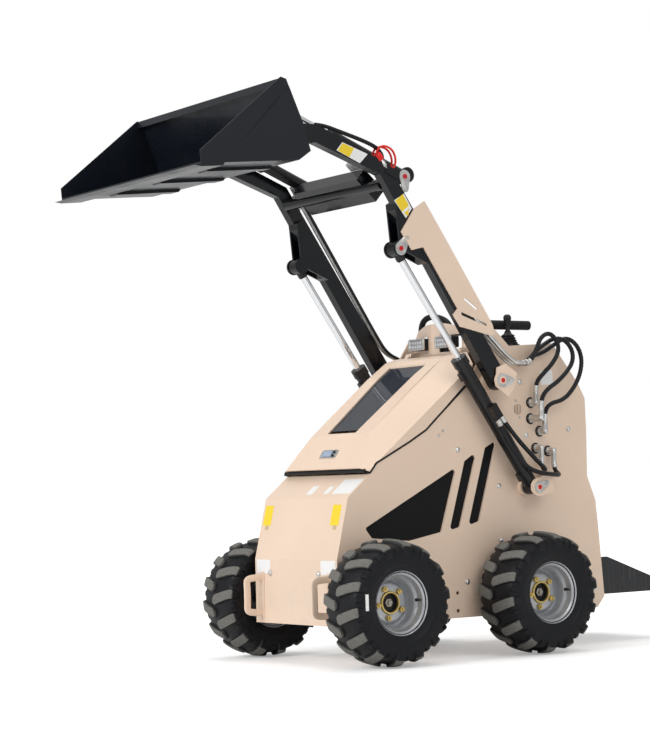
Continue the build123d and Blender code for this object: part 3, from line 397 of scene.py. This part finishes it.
def rubber_tyre():
    """Black rubber; worn, a value on the points, greys the bars' faces, and grit shows as fine noise."""
    f = Finish("tyre_rubber", Specular_IOR_Level=0.22)
    worn = f.node("ShaderNodeAttribute", {"attribute_name": "worn"}, output=2)
    grit = f.noise(160, 5, rough=0.65)
    dusty = worn * grit.ramp(0.22, 0.5)
    haze = f.noise(11, 4).ramp(0.45, 0.75) * 0.2
    colour = f.blend(haze, (0.005, 0.0055, 0.007), (0.016, 0.016, 0.017))
    return f.done(Base_Color=f.blend(dusty, colour, (0.15, 0.146, 0.133)), Roughness=0.46 + dusty * 0.36 + haze * 0.5,
                  Normal=f.bump(f.noise(700, 3), 0.0004, 0.35))


def step(value, width):
    """0 below zero, 1 above width, a smooth cubic between."""
    share = np.clip(value / width, 0, 1)
    return share * share * (3 - 2 * share)


def tyre_shape():
    """Rows follow the flank from bead to bead, columns go round and lean with the bars, so bar edges stay straight.
    Each point moves out along the profile's normal by the bar's height, which falls off near the bar's outline."""
    half = np.array(FLANK, float)
    profile = np.concatenate([half, half[-2::-1] * (-1, 1)])
    run = np.r_[0, np.cumsum(np.linalg.norm(np.diff(profile, axis=0), axis=1))]
    edge = run[-1] / 2
    rows = np.r_[np.linspace(-edge, -128, 18), np.linspace(-125, 125, 68), np.linspace(128, edge, 18)]
    fine = np.linspace(0, run[-1], 900)
    smooth = [np.convolve(np.pad(np.interp(fine, run, profile[:, i]), 14, "edge"), np.ones(29) / 29,
                          "valid") for i in (0, 1)]
    y, r = (np.interp(rows + edge, fine, values) for values in smooth)
    slope = np.column_stack([np.gradient(y, rows), np.gradient(r, rows)])
    slope /= np.linalg.norm(slope, axis=1)[:, None]
    normal = np.column_stack([slope[:, 1], -slope[:, 0]])
    pitch = 2 * np.pi / BARS
    turn = np.linspace(0, 2 * np.pi, BARS * 40, endpoint=False)
    s = np.abs(rows)[:, None]
    lean = (6 - np.sqrt(np.minimum(s, 96) ** 2 + 36)) * BAR_LEAN / TREAD_R
    offset = np.where(rows > 0, pitch / 2, 0)[:, None]
    away = (turn[None] + offset + pitch / 2) % pitch - pitch / 2
    mm = np.abs(away) * TREAD_R
    from_nose = s + 2.0
    wide = BAR_HALF_WIDTH * np.sqrt(1 - np.clip((15 - from_nose) / 15, 0, 1) ** 2) * (1 - 0.18 * step(s - 92, 30))
    inside = np.minimum(wide - mm, 129 - s)
    height = BAR_HEIGHT * step(inside + 2.6, 5.2) * (1 - 0.72 * step(s - 98, 30))
    gap = np.abs((turn[None] + offset) % pitch - pitch / 2) * TREAD_R
    pad = 4.2 * step(np.minimum(np.minimum(13 - gap, s - 90), 117 - s), 3.5)
    ridge = 1.6 * np.exp(-((s - 158) / 2.4) ** 2) + 0.9 * np.exp(-((s - 146) / 1.6) ** 2)
    ridge = ridge + 2.2 * np.exp(-((s - 186) / 3.5) ** 2)
    out = np.maximum(height, pad) + ridge
    yy = y[:, None] + normal[:, :1] * out
    rr = r[:, None] + normal[:, 1:] * out
    around = turn[None] + lean
    shape = np.stack([rr * np.sin(around), yy, rr * np.cos(around)], -1)
    worn = step(height - 10.2, 2.0) * (s < 100)
    bead = np.stack([113 * np.sin(around[:1]), y[:1, None] + 0 * around[:1], 113 * np.cos(around[:1])], -1)
    shape = np.concatenate([bead, shape, bead * (1, -1, 1), bead])
    worn = np.pad(worn, ((1, 2), (0, 0)))
    return shape, worn


WHEELS = {"front_left": (0, 1), "front_right": (0, -1), "rear_left": (-730, 1), "rear_right": (-730, -1)}
WHEEL_Y, WHEEL_Z = 428.0, 238.0
tyre_points, tyre_worn = tyre_shape()
tyre_rubber = rubber_tyre()
for place, (x, side) in WHEELS.items():
    made = piece("tyre_moulded_" + place, [metres(tyre_points * (1, side, 1) + (x, side * WHEEL_Y, WHEEL_Z))],
                 tyre_rubber, "wheel_" + place, 28, tyre_worn)
    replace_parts(made, "tyre_" + place)


# Wheel discs
# Pressed steel rims with a deep centre well and a flat dished disc, stoved in silver grey.
# Five yellow-passivated bolts and a locating ring hold each to its motor's hub, whose shaft ends in a slotted nut.
def silver_stove():
    """Silver paint with a soft cloud, and noise-shaped grime that is darker and rougher."""
    f = Finish("rim_silver", Metallic=0.55, Coat_Roughness=0.2)
    cloud = f.noise(30, 4)
    grime = f.noise(16, 6).ramp(0.52, 0.78)
    colour = f.blend(cloud, (0.40, 0.415, 0.44), (0.50, 0.51, 0.53))
    return f.done(Base_Color=f.blend(grime * 0.25, colour, (0.2, 0.19, 0.175)), Roughness=0.34 + grime * 0.2,
                  Coat_Weight=0.3, Normal=f.bump(f.noise(500, 2), 0.0002, 0.3))


def ring_of(count, corners=None, start=0.0):
    """Unit circle, or a polygon of so many corners, as (count, 2) points."""
    turn = np.linspace(0, 2 * np.pi, count, endpoint=False) + start
    if corners is None:
        return np.column_stack([np.cos(turn), np.sin(turn)])
    slice_angle = 2 * np.pi / corners
    reach = np.cos(slice_angle / 2) / np.cos((turn - start) % slice_angle - slice_angle / 2)
    return np.column_stack([np.cos(turn), np.sin(turn)]) * reach[:, None]


def stack(outline, steps, centre, out=(0, 1, 0), up=(0, 0, 1)):
    """Rings of one outline along out from centre, each scaled and raised by its (scale, height).
    A scale of 0 closes an end."""
    out = np.array(out, float) / np.linalg.norm(out)
    side = np.cross(up, out)
    side /= np.linalg.norm(side)
    upward = np.cross(out, side)
    scale, height = np.array(steps, float).T
    flat = outline[:, :1] * side + outline[:, 1:] * upward
    return metres(np.array(centre, float) + scale[:, None, None] * flat + height[:, None, None] * out)


ROUND = ring_of(48)
HEX = ring_of(24, 6)
RIM_WELL = [(119.5, 91.5), (121, 90), (120.5, 86), (117, 84), (112, 80), (110.5, 76), (109, 54), (97.5, 46), (97, -46),
            (109, -54), (110.5, -76), (112, -80), (117, -84), (120.5, -86), (121, -90), (119.5, -91.5), (117.5, -90),
            (112, -83), (106, -79), (104.6, -74), (103.5, -57), (101, -52), (92.4, -45), (92, 40), (93, 43.5),
            (101, 50), (103.5, 55), (104.6, 72), (106, 78), (111.5, 82), (115.5, 86), (117.5, 90), (119.5, 91.5)]
RIM_DISC = [(37, 14), (37.8, 15), (66, 15), (70, 14.2), (74, 11.8), (77, 8), (81, 3.5), (86, 1.2), (93, 0.6), (93, -5),
            (84, -4.5), (76, -1), (71, 4.5), (66, 6.5), (37, 6.5), (37, 14)]
BOLT = [(0, -1), (8, -1), (8, 2.4), (11.6, 2.6), (11.6, 11.4), (10.8, 12.6), (7.5, 13.2), (6.2, 13.2), (6, 18),
        (5.2, 19), (0, 19)]
BOLT_CIRCLE_R = 57.15
silver = silver_stove()
brassy = zinc("yellow_zinc", (0.80, 0.60, 0.22))
pitch_black = soft_black("hub_black", (0.012, 0.012, 0.013), 0.45, 300)
steel = zinc("shaft_steel", (0.46, 0.43, 0.39))
for place, (x, side) in WHEELS.items():
    middle, out, body = np.array((x, side * WHEEL_Y, WHEEL_Z)), (0, side, 0), "wheel_" + place
    made = piece("rim_pressed_" + place, [stack(ring_of(96), RIM_WELL, middle, out),
                                          stack(ring_of(96), RIM_DISC, middle, out)],
                 silver, body)
    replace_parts(made, "rim_" + place)
    turns = np.radians(np.arange(5) * 72 - 8)
    seats = middle + BOLT_CIRCLE_R * np.column_stack([np.cos(turns), 0 * turns, np.sin(turns)]) + np.array(out) * 15
    locating = stack(ROUND, [(35.5, 8), (35.5, 21), (36.5, 22.6), (41.5, 22.6), (43.5, 20), (44, 14.5), (44, 8),
                             (35.5, 8)],
                     middle, out)
    piece("wheel_bolts_" + place, [stack(HEX, BOLT, seat, out) for seat in seats] + [locating], brassy, body)
    piece("hub_well_" + place, [stack(ROUND, [(0, -3), (36, -3), (36, 12), (34, 12), (33, 2), (0, 1)], middle, out)],
          pitch_black, body)
    nut = [(0, 0), (15, 0), (17.5, 1), (17.5, 11), (15, 13), (10, 13), (10, 18), (8.5, 20), (3, 20), (2.4, 17), (0, 17)]
    piece("hub_nut_" + place, [stack(HEX, nut, middle, out)], steel, body)
    valve = [(0, 0), (6.5, 0), (6.5, 3), (4.2, 6), (4, 17), (3.2, 18), (3.2, 25), (2, 26), (0, 26)]
    piece("tyre_valve_" + place, [stack(ROUND[::4], valve, middle + (-98.0, side * 48, 6), (0, side, 0))], pitch_black,
          body)


def slab(corners, thickness, out):
    """Thin closed plate: rings through the corners below and above, each end closed by its middle point."""
    corners, out = np.array(corners, float), np.array(out, float) / np.linalg.norm(out)
    middle = np.broadcast_to(corners.mean(axis=0), corners.shape)
    return metres(np.stack([middle, corners, corners + out * thickness, middle + out * thickness]))


# Body panels
# Folded steel sheet from 4 to 8 mm, shot-blasted and powder coated in warm sand.
# The coat is even, with a fine orange peel and a breath of dust low down.
def powder_coat(name, colour, rough=0.42):
    """Matt coat varied by 3 percent, with dust that fades out from 0.1 to 0.75 m up."""
    f = Finish(name, Coat_Roughness=0.25)
    broad = f.noise(2.2, 4)
    fine = f.noise(900, 2)
    dust = f.axis("Z").ramp(0.75, 0.1) * f.noise(9, 5).ramp(0.42, 0.72) * 0.28
    shade = f.blend(broad.ramp(0.3, 0.7), tuple(c * 0.97 for c in colour), tuple(min(c * 1.03, 1) for c in colour))
    colour_out = f.blend(dust, shade, (0.55, 0.48, 0.4))
    return f.done(Base_Color=colour_out, Roughness=rough + broad * 0.1 + dust * 0.5, Coat_Weight=0.25,
                  Normal=f.bump(fine, 0.00012, 0.5))


SAND = (0.745, 0.575, 0.445)
sand = powder_coat("sand_powder_coat", SAND)
paint(["side_plate_left", "side_plate_right", "front_panel", "rear_panel", "belly_pan", "deck_plate", "console", "hood",
       "pivot_brackets", "cylinder_brackets", "arm_covers"], sand)
flat = np.linspace(0, 2 * np.pi, 24, endpoint=False)
BAND = (np.abs(np.cos(flat) / 5.6) ** 5 + np.abs(np.sin(flat) / 13.5) ** 5) ** -0.2 / 1000
loops = []
for side in (1, -1):
    y = side * 233
    line, _ = evenly(smooth_line("loop", [(119, y, 327), (150, y, 327), (196, y, 322), (194, y, 290), (194, y, 258),
                                          (194, y, 226),
                                          (196, y, 194), (150, y, 189), (119, y, 189)]), 0.006)
    loops.append(tube(line, BAND[None], 24))
    loops.append(slab([(122.4, y - 14, 348), (122.4, y + 14, 348), (122.6, y + 14, 168), (122.6, y - 14, 168)], 3,
                      (1, 0, 0)))
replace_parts(piece("tie_loops", loops, sand, "chassis", 50), "front_loops")


# Arms, bucket and frame parts in black
# Welded steel plate under a deep gloss enamel that looks blue where it mirrors the sky.
# Smudges dull it in patches, and the enamel lies over a faint mill texture.
def gloss_enamel(name, colour, rough):
    """Black gloss whose coat thins and roughens where broad noise makes a smudge."""
    f = Finish(name, Coat_Roughness=0.05, Specular_IOR_Level=0.3)
    smudge = f.noise(5, 6, rough=0.6).ramp(0.38, 0.75)
    speck = f.noise(240, 3).ramp(0.62, 0.8)
    tint = f.blend(speck * 0.12, colour, (0.08, 0.085, 0.09))
    return f.done(Base_Color=tint, Roughness=rough + smudge * 0.16, Coat_Weight=0.24 - smudge * 0.14,
                  Normal=f.bump(f.noise(60, 4), 0.0004, 0.25))


black = gloss_enamel("black_enamel", (0.003, 0.004, 0.006), 0.16)
paint(["boom_arm_left", "boom_arm_right", "cross_member", "quick_attach"], black)
bucket_black = gloss_enamel("bucket_enamel", (0.005, 0.007, 0.011), 0.2)
paint(["bucket_shell", "cutting_edge"], bucket_black)
barrel_black = gloss_enamel("barrel_enamel", (0.004, 0.004, 0.005), 0.26)
paint(["lift_barrel_left", "lift_barrel_right", "tilt_barrel_left", "tilt_barrel_right", "engine_block", "drive_hubs"],
      barrel_black)


def tread_plate():
    """Black enamel over steel plate with raised crossed ovals, from sines along the two diagonals of the floor."""
    f = Finish("platform_tread", Coat_Roughness=0.15)
    x, y = f.axis("X") * 105, f.axis("Y") * 105
    one, two = ((x + y).wave() * ((x - y) * 0.5).wave()).size(), ((x - y).wave() * ((x + y) * 0.5).wave()).size()
    bars = one.most(two).ramp(0.72, 0.9)
    worn = bars * f.noise(24, 5).ramp(0.45, 0.7)
    return f.done(Base_Color=f.blend(worn * 0.5, (0.012, 0.013, 0.015), (0.16, 0.155, 0.15)), Metallic=worn * 0.6,
                  Roughness=0.36 + worn * 0.12, Normal=f.bump(bars, 0.0016, 0.9))


paint(["platform"], tread_plate())


# Bright steel
# Cylinder rods are ground and hard-chromed; pipes, elbows, couplers and the hood's paddle latch are zinc plated.
def chrome():
    """Mirror-bright metal with a very fine grain in its roughness."""
    f = Finish("rod_chrome", Metallic=1.0)
    rings = (f.noise(700, 2)).ramp(0.3, 0.7)
    return f.done(Base_Color=(0.82, 0.83, 0.85, 1), Roughness=0.07 + rings * 0.08)


paint(["lift_rod_left", "lift_rod_right", "tilt_rod_left", "tilt_rod_right"], chrome())
paint(["boom_pipes", "couplers", "bulkhead_fittings"], plated)
EYES = {"left": 1, "right": -1}
for name, side in EYES.items():
    for node, eye, along, reach, wide, flat in (("lift", (-160, 1573), (-640, -926), 50, 28.6, 46.6),
                                               ("tilt", (345, 2105), (-585, -239), 46, 26.6, 52.6)):
        along = np.array((along[0], 0, along[1]), float) / np.hypot(*along)
        y = side * (336 if node == "lift" else 285)
        middle = np.array((eye[0], y, eye[1]), float)
        rings = [(0, -flat / 2 - 0.1), (wide - 3, -flat / 2 - 0.1), (wide, -flat / 2 + 2), (wide, flat / 2 - 2),
                 (wide - 3, flat / 2 + 0.1), (0, flat / 2 + 0.1)]
        shank = [(0, 12), (19.6, 12), (19.6, reach - 4), (17.4, reach), (0, reach)]
        piece(f"{node}_eye_{name}", [stack(ROUND, rings, middle), stack(ROUND, shank, middle, along, (0, 1, 0))],
              barrel_black, f"{node}_rod_{name}_body")


# Seal, grips, boots and screens
# Seal strip, foam grips and lever boots are black rubber; the openings are backed by fine dark punched sheet, whose
# holes are painted darker as painted shade.
rubber = soft_black("seal_rubber", (0.006, 0.006, 0.007), 0.5)
paint(["hood_seal"], rubber)
SILL = [(-30, 727), (-45, 722), (-77, 759), (-239, 838), (-319, 882), (-367, 923), (-521, 1051)]
seals = []
for side in (1, -1):
    corners = [(x, side * 281.6, z) for x, z in SILL]
    line, _ = evenly(metres(corners), 0.006)
    seals.append(tube(line, 0.0042, 12))
line, _ = evenly(metres([(-30, -272, 731), (-30, 272, 731)]), 0.02)
seals.append(tube(line, 0.0075, 16, (1, 0, 0)))
piece("seal_bulb", seals, rubber, "chassis")
piece("horn_face", [stack(ROUND, [(0, -9), (26, -9), (26, -8.2), (0, -8.2)], (-781, 282.5, 959))], pitch_black,
      "chassis")
foam = soft_black("grip_foam", (0.011, 0.011, 0.012), 0.72, 1200, 0.2)
moulded = soft_black("moulded_black", (0.010, 0.010, 0.012), 0.34, 600, 0.15)
paint(["grab_bars"], foam)
DECK_Z = 1216.6
BELLOWS = [(0, 0), (46, 0), (47, 3), (46, 6), (38, 7), (40, 10), (40, 13), (33, 17), (36, 20.5), (36, 23), (29, 27),
           (32, 30.5),
           (32, 33), (25, 37), (28, 40.5), (28, 43), (20, 47), (15, 52), (12, 60), (8, 66), (7, 80), (7, 92), (0, 92)]
KNOB = [(0, 0), (9, 0), (11.5, 6), (12, 16), (14.5, 24), (16.2, 33), (15.5, 41), (11, 47.5), (5, 50), (0, 50.5)]
levers = []
for side in (1, -1):
    foot = (-800, side * 215, DECK_Z)
    levers += [stack(ROUND, BELLOWS, foot, (0, 0, 1), (1, 0, 0)),
               stack(ROUND, KNOB, (-800, side * 215, 1295), (0, 0, 1), (1, 0, 0))]
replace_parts(piece("drive_levers", levers, moulded, "chassis", 40), "control_levers")
HOOP = [(-722, -259, 1280), (-722, -259, 1306), (-722, -247, 1346), (-722, -207, 1366), (-722, -152, 1363),
        (-722, -99, 1348),
        (-722, -66, 1326), (-722, -56, 1300), (-722, -56, 1280)]
hoop_line, _ = evenly(smooth_line("hoop", HOOP), 0.006)
piece("hand_hoop", [tube(hoop_line, 0.0125, 24, (1, 0, 0))], foam, "chassis")
piece("choke_knob", [stack(ROUND, [(0, 0), (4, 0), (4, 20), (12, 24), (15, 30), (15, 38), (11, 44), (0, 45)],
                           (-712, -192, 1270), (0.1, -0.15, 1), (1, 0, 0))], moulded, "chassis")


def punched_sheet(name, pitch, shine, solid):
    """Dark sheet with staggered round holes, painted darker as painted shade seen through them: both sines of the place
    must be near their crest for a hole.
    """
    f = Finish(name, Specular_IOR_Level=0.15, Coat_Roughness=0.06)
    across, high = f.axis("X") + f.axis("Y"), f.axis("Z")
    hole = ((across * pitch).wave() * (high * pitch).wave()).size().ramp(0.35, 0.55)
    # The holes' near-black colour (0.004) is painted shade seen through them; the sheet between keeps its own dark
    # colour.
    return f.done(Base_Color=f.blend(hole, solid, (0.004, 0.004, 0.004)), Roughness=0.42 + hole * 0.3,
                  Coat_Weight=shine,
                  Normal=f.bump(1 - hole, 0.0008, 0.6))


paint(["vent_screens"], punched_sheet("vent_mesh", 900, 0.0, (0.009, 0.009, 0.01)))
paint(["hood_window"], punched_sheet("window_mesh", 1500, 0.7, (0.018, 0.026, 0.045)))


# Bolts, keepers and grommets
# Zinc flange bolts fix the brackets from inside; teardrop keepers hold the pins, whose red-painted ends show.
# Black rubber grommets line the holes that the hydraulic elbows come through.
DOME = [(0, 0), (11, 0), (11, 1.4), (8.6, 2.2), (7.6, 5), (4.5, 7), (0, 7.6)]
SCREW = [(0, 0), (6, 0), (6, 1), (5, 2.6), (0, 3.2)]
SIDE_BOLTS = [(-795.5, 1067.7), (-821.4, 854.4), (-670.2, 655.7), (-1043.5, 877), (-469, 802), (-497, 287),
              (-1157, 228),
              (-674, 441)]
SIDE_SCREWS = [(-772.4, 994.1), (-790.5, 926.4), (-400, 878), (-379, 861)]
for side in (1, -1):
    fixings = [stack(ROUND[::2], DOME, (x, side * 282.5, z), (0, side, 0)) for x, z in SIDE_BOLTS]
    fixings += [stack(ROUND[::4], SCREW, (x, side * 282.5, z), (0, side, 0)) for x, z in SIDE_SCREWS]
    piece("plate_bolts_" + ("left" if side > 0 else "right"), fixings, plated, "chassis")
piece("front_bolts", [stack(ROUND[::2], DOME, (122.3, y, 344.5), (1, 0, 0)) for y in (-173, 159)], plated, "chassis")
HOLES = [(-848, 985), (-845, 921), (-890, 870), (-866, 802), (-930, 790)]
GROMMET = [(13.2, 0), (13.2, 2.2), (14, 3), (20.5, 3), (22, 1.6), (22, 0), (13.2, 0)]
piece("elbow_grommets", [stack(ROUND, GROMMET, (x, 282.6, z)) for x, z in HOLES], pitch_black, "chassis")


def teardrop(radius, tip, reach, angle):
    """Outline of a round plate with a narrower round tail: the convex hull of two circles, read as support points."""
    turn = np.linspace(0, 2 * np.pi, 64, endpoint=False)
    lean = np.arccos((radius - tip) / reach)
    near = np.abs((turn - angle + np.pi) % (2 * np.pi) - np.pi) < lean
    size = np.where(near, tip, radius)[:, None]
    return np.column_stack([np.cos(turn), np.sin(turn)]) * size + np.where(near, reach, 0)[:, None] * (cos(angle),
                                                                                                       sin(angle))


red = soft_black("red_paint", (0.52, 0.012, 0.010), 0.38, 500, 0.0)
red_soft = soft_black("red_cap_plastic", (0.72, 0.020, 0.014), 0.42, 700, 0.0)
PLATE = [(0, 0), (1, 0), (1, 4.4), (0.96, 5.2), (0, 5.2)]
STUD = [(0, 0), (9.5, 0), (9.5, 7), (8, 9), (0, 9.4)]
KEEPERS = [("pivot", "chassis", (-625, 383.2, 1069), 27, 13, 44, 181),
           ("cylinder_foot", "chassis", (-800, 375.6, 647), 23, 11, 42, 160),
           ("cylinder_eye", "boom", (-160, 368.6, 1573), 26, 13, 50, 125),
           ("elbow", "boom", (-188, 370.2, 1850), 25, 15, 46, 268)]
KEEPER_BOLT = [(0, 5), (8, 5), (8, 9), (7, 10), (0, 10)]
for name, body, (x, y, z), radius, tip, reach, degrees_round in KEEPERS:
    # the outline's first axis runs to -X on the left face and to +X on the right one
    for side in (1, -1):
        angle = radians(180 - degrees_round if side > 0 else degrees_round)
        label = name + ("_left" if side > 0 else "_right")
        centre, out = (x, side * y, z), (0, side, 0)
        drop = teardrop(radius, tip, reach, angle)
        bolt_at = np.array(centre) + reach * np.array((-side * cos(angle), 0, sin(angle)))
        piece("keeper_" + label, [stack(drop, PLATE, centre, out), stack(HEX, KEEPER_BOLT, bolt_at, out)], plated, body)
        piece("pin_end_" + label, [stack(ROUND[::2], STUD, centre, out)], red, body)


# Boom covers
# A folded sand-coloured guard hides the pipes on the left arm; the right arm only has a narrow strip with two pipes.
# The guard keeps the plate's own outline and slots, merged from the plain plate.
guard_mesh = nodes["arm_covers"].data.copy()
work = bmesh.new()
work.from_mesh(guard_mesh)
bmesh.ops.delete(work, geom=[v for v in work.verts if v.co.y < 0], context="VERTS")
bmesh.ops.remove_doubles(work, verts=work.verts, dist=1e-6)
work.to_mesh(guard_mesh)
work.free()
guard = bpy.data.objects.new("arm_guard_left", guard_mesh)
bpy.context.scene.collection.objects.link(guard)
guard_mesh.materials.clear()
guard_mesh.materials.append(sand)
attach(guard, "boom")
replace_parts(guard, "arm_covers")


ARM_RUN = np.array((cos(radians(57.2)), 0, sin(radians(57.2))))
ARM_BACK = np.array((-ARM_RUN[2], 0, ARM_RUN[0]))
foot = np.array((-625, -370.2, 1069.0))
strip = [foot + ARM_RUN * a + ARM_BACK * b for a, b in ((150, -22), (780, -22), (800, 22), (130, 22))]
piece("arm_strip_right", [slab(strip, 5, (0, -1, 0))], sand, "boom")
RIGHT_PIPE = [foot + (0, 26, 0) + ARM_RUN * a + ARM_BACK * b for a, b in
              ((960, 46), (700, 47), (420, 47), (240, 47), (150, 52), (96, 88), (40, 128))]
for k in (0, 1):
    pipe_line, _ = evenly(smooth_line("pipe", [p + (0, 22 * k, 0) for p in RIGHT_PIPE]), 0.008)
    piece(f"right_pipe_{k + 1}", [tube(pipe_line, 0.0065, 16)], moulded if k else plated, "boom")


# Stickers and plates
# Plain vinyl stickers in yellow and white, and a small white tag on the front left tyre's flank.
def vinyl(name, colour):
    """Smooth film whose scuffs are a fifth darker and rougher."""
    f = Finish(name, Coat_Roughness=0.15, Coat_Weight=0.35)
    scuff = f.noise(60, 5).ramp(0.5, 0.75)
    return f.done(Base_Color=f.blend(scuff * 0.2, colour, tuple(c * 0.8 for c in colour)), Roughness=0.32 + scuff * 0.2,
                  Normal=f.bump(f.noise(300, 2), 0.0001, 0.3))


white_vinyl, yellow_vinyl = vinyl("white_vinyl", (0.80, 0.80, 0.79)), vinyl("yellow_vinyl", (0.83, 0.60, 0.012))


def panel_patch(y0, y1, z0, z1, line):
    """Corners on a folded panel: x follows from z along the panel's line through two (x, z) points."""
    (xa, za), (xb, zb) = line
    return [(xa + (z - za) * (xb - xa) / (zb - za), y, z) for y, z in ((y0, z0), (y1, z0), (y1, z1), (y0, z1))]


CHEST, APRON, NOSE = ((121, 398), (62, 632)), ((123, 149), (121, 398)), ((62, 632), (-45, 719))
patches = [panel_patch(-270, -214, 606, 528, CHEST), panel_patch(196, 252, 606, 528, CHEST)]
piece("front_stickers_yellow", [slab(p, 0.5, (234, 0, 59)) for p in patches], yellow_vinyl, "chassis")
tabs = [panel_patch(-250, -226, 527, 512, CHEST), panel_patch(218, 242, 527, 512, CHEST)]
whites = [slab(panel_patch(-271, -175, 396, 343, APRON), 0.5, (1, 0, 0)),
          slab(panel_patch(174, 271, 396, 343, APRON), 0.5, (1, 0, 0))]
whites += [slab(panel_patch(y0, y1, z0, z1, NOSE), 0.5, (87, 0, 107)) for y0, y1, z0, z1 in
           ((150, 272, 700, 647), (92, 122, 674, 647), (-24, 16, 677, 646))]
whites.append(slab([(-905, 282.5, 1113), (-969, 282.5, 1117), (-971, 282.5, 1060), (-908, 282.5, 1056)], 0.5,
                   (0, 1, 0)))
piece("chassis_stickers_white", whites, white_vinyl, "chassis")
tab_vinyl = vinyl("kraft_vinyl", (0.52, 0.40, 0.22))
piece("front_tabs", [slab(p, 0.4, (234, 0, 59)) for p in tabs], tab_vinyl, "chassis")
upper = [(97, 370, 1964), (-19, 370, 1926), (19, 370, 1889), (125, 370, 1932)]
lower = [(-184, 370, 1784), (-219, 370, 1729), (-190, 370, 1690), (-136, 370, 1756)]
piece("arm_stickers_white", [slab(p, 0.5, (0, 1, 0)) for p in (upper, lower)], white_vinyl, "boom")
upper = [(95, 370.5, 1961), (44, 370.5, 1944), (67, 370.5, 1909), (120, 370.5, 1932)]
lower = [(-178, 370.5, 1782), (-206, 370.5, 1739), (-171, 370.5, 1714), (-141, 370.5, 1755)]
triangle = [(-180, 370.5, 1709), (-207, 370.5, 1727), (-206, 370.5, 1728), (-200, 370.5, 1699)]
piece("arm_stickers_yellow", [slab(p, 0.4, (0, 1, 0)) for p in (upper, lower, triangle)], yellow_vinyl, "boom")
tag = [(174, 532.6, 220), (160, 532.6, 220), (160, 532.6, 280), (174, 532.6, 280)]
piece("tyre_tag", [slab(tag, 0.8, (0, 1, 0))], white_vinyl, "wheel_front_left")


# Work lamps
# Cast housings with cooling ribs, a bright bezel and a clear lens over rows of reflector cups.
def lens_cups():
    """Clear cover over square reflector cups, drawn by sines across and up; the cups' walls are mirror bright."""
    f = Finish("lamp_lens", Coat_Roughness=0.03, Coat_Weight=1.0)
    cup = ((f.axis("Y") * 190).wave() * (f.axis("Z") * 190).wave()).size()
    return f.done(Base_Color=f.blend(cup.ramp(0.15, 0.8), (0.30, 0.31, 0.33), (0.82, 0.83, 0.84)),
                  Metallic=0.35 + cup * 0.3,
                  Roughness=0.12, Normal=f.bump(cup, 0.003, 0.5))


def soft_box(wide, tall, corner):
    """Outline of a rectangle with round corners: the corner circle's points pushed out to the four corners."""
    turn = np.linspace(0, 2 * np.pi, 64, endpoint=False) + 0.049
    circle = np.column_stack([np.cos(turn), np.sin(turn)])
    return circle * corner + np.sign(circle) * (wide - corner, tall - corner)


BOX = soft_box(51.7, 24, 6)
bodies, bezels, lenses = [], [], []
for side in (1, -1):
    back, front = (-611, side * 88, 1240), (-565, side * 88, 1240)
    ribs = [(0.93 + 0.05 * (k % 2), k * 4.0) for k in range(9)]
    bodies.append(stack(BOX, [(0, 0), (0.9, 0), *ribs, (1, 36), (1, 42), (0, 42)], back, (1, 0, 0)))
    bezels.append(stack(BOX, [(0.82, -2), (1, -4), (1, 1.2), (0.97, 2.6), (0.9, 2.6), (0.86, 0.4), (0.82, -2)], front,
                        (1, 0, 0)))
    lenses.append(stack(BOX, [(0, -2), (0.87, -2), (0.87, 0.6), (0.8, 1.6), (0, 2.2)], front, (1, 0, 0)))
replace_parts(piece("lamp_housings", bodies, moulded, "chassis", 30), "work_lamps")
piece("lamp_bezels", bezels, plated, "chassis")
piece("lamp_lenses", lenses, lens_cups(), "chassis")


# Hood latch
# Flush paddle latch: a zinc flange with a sprung paddle and two black lock cylinders beside it.
seat, out_of_hood, up_hood = np.array((-55.8, 0, 800.0)), (0.83, 0, 0.558), (-0.558, 0, 0.83)
FLANGE = soft_box(54, 19, 4)
flange = [(0, 0.4), (1, 0.4), (1, 2.4), (0.97, 3.4), (0.84, 3.4), (0.8, 1.4), (0, 1.4)]
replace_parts(piece("latch_flange", [stack(FLANGE, flange, seat, out_of_hood, up_hood)], plated, "hood_body"),
            "hood_latch")
paddle = [(0, 0), (1, 1), (1, 5.4), (0.95, 6.6), (0, 6.8)]
blued = soft_black("paddle_blued", (0.30, 0.37, 0.48), 0.22, 200, 0.1)
piece("latch_paddle", [stack(soft_box(30, 13, 3), paddle, seat - (0, 9, 0), out_of_hood, up_hood)], blued, "hood_body")
locks = [stack(ROUND[::2], [(0, 1), (5.4, 1), (5.4, 5.6), (4.6, 6.4), (0, 6.4)],
               seat + (0, 31, 0) + np.array(up_hood) * a,
               out_of_hood, up_hood) for a in (-8, 8)]
piece("latch_locks", locks, pitch_black, "hood_body")


# Quick couplers
# Flat-faced couplers behind the left arm's elbow, capped in soft red plastic on short loops against dirt.
COUPLER = [(0, 0), (9, 0), (11, 3), (11, 22), (13, 24), (13, 40), (11, 43), (11, 60), (9, 62), (0, 62)]
CAP = [(0, 0), (15, 0), (16.5, 3), (16.5, 24), (14, 29), (0, 30)]
caps, bodies, loops = [], [], []
for y in (336, 360):
    base, lean = np.array((-117, y, 1868.0)), (0.62, 0, 0.78)
    bodies.append(stack(ROUND[::2], COUPLER, base, lean, (0, 1, 0)))
    caps.append(stack(ROUND[::2], CAP, base + np.array(lean) * 52, lean, (0, 1, 0)))
    crown = base + np.array(lean) * 80
    loop = [crown, crown + (-4, 0, 22), crown + (-34, 4, 36), crown + (-72, 6, 22), crown + (-88, 6, -16),
            crown + (-78, 4, -52),
            base + (-4, 4, 6)]
    line, _ = evenly(smooth_line("loop", loop), 0.004)
    loops.append(tube(line, 0.0042, 12))
piece("aux_couplers", bodies, plated, "boom")
piece("coupler_caps", caps + loops, red_soft, "boom")
shelf = [(-150, 328, 1836), (-96, 328, 1862), (-112, 328, 1888), (-166, 328, 1866)]
piece("coupler_shelf", [slab(shelf, 46, (0, 1, 0))], black, "boom")
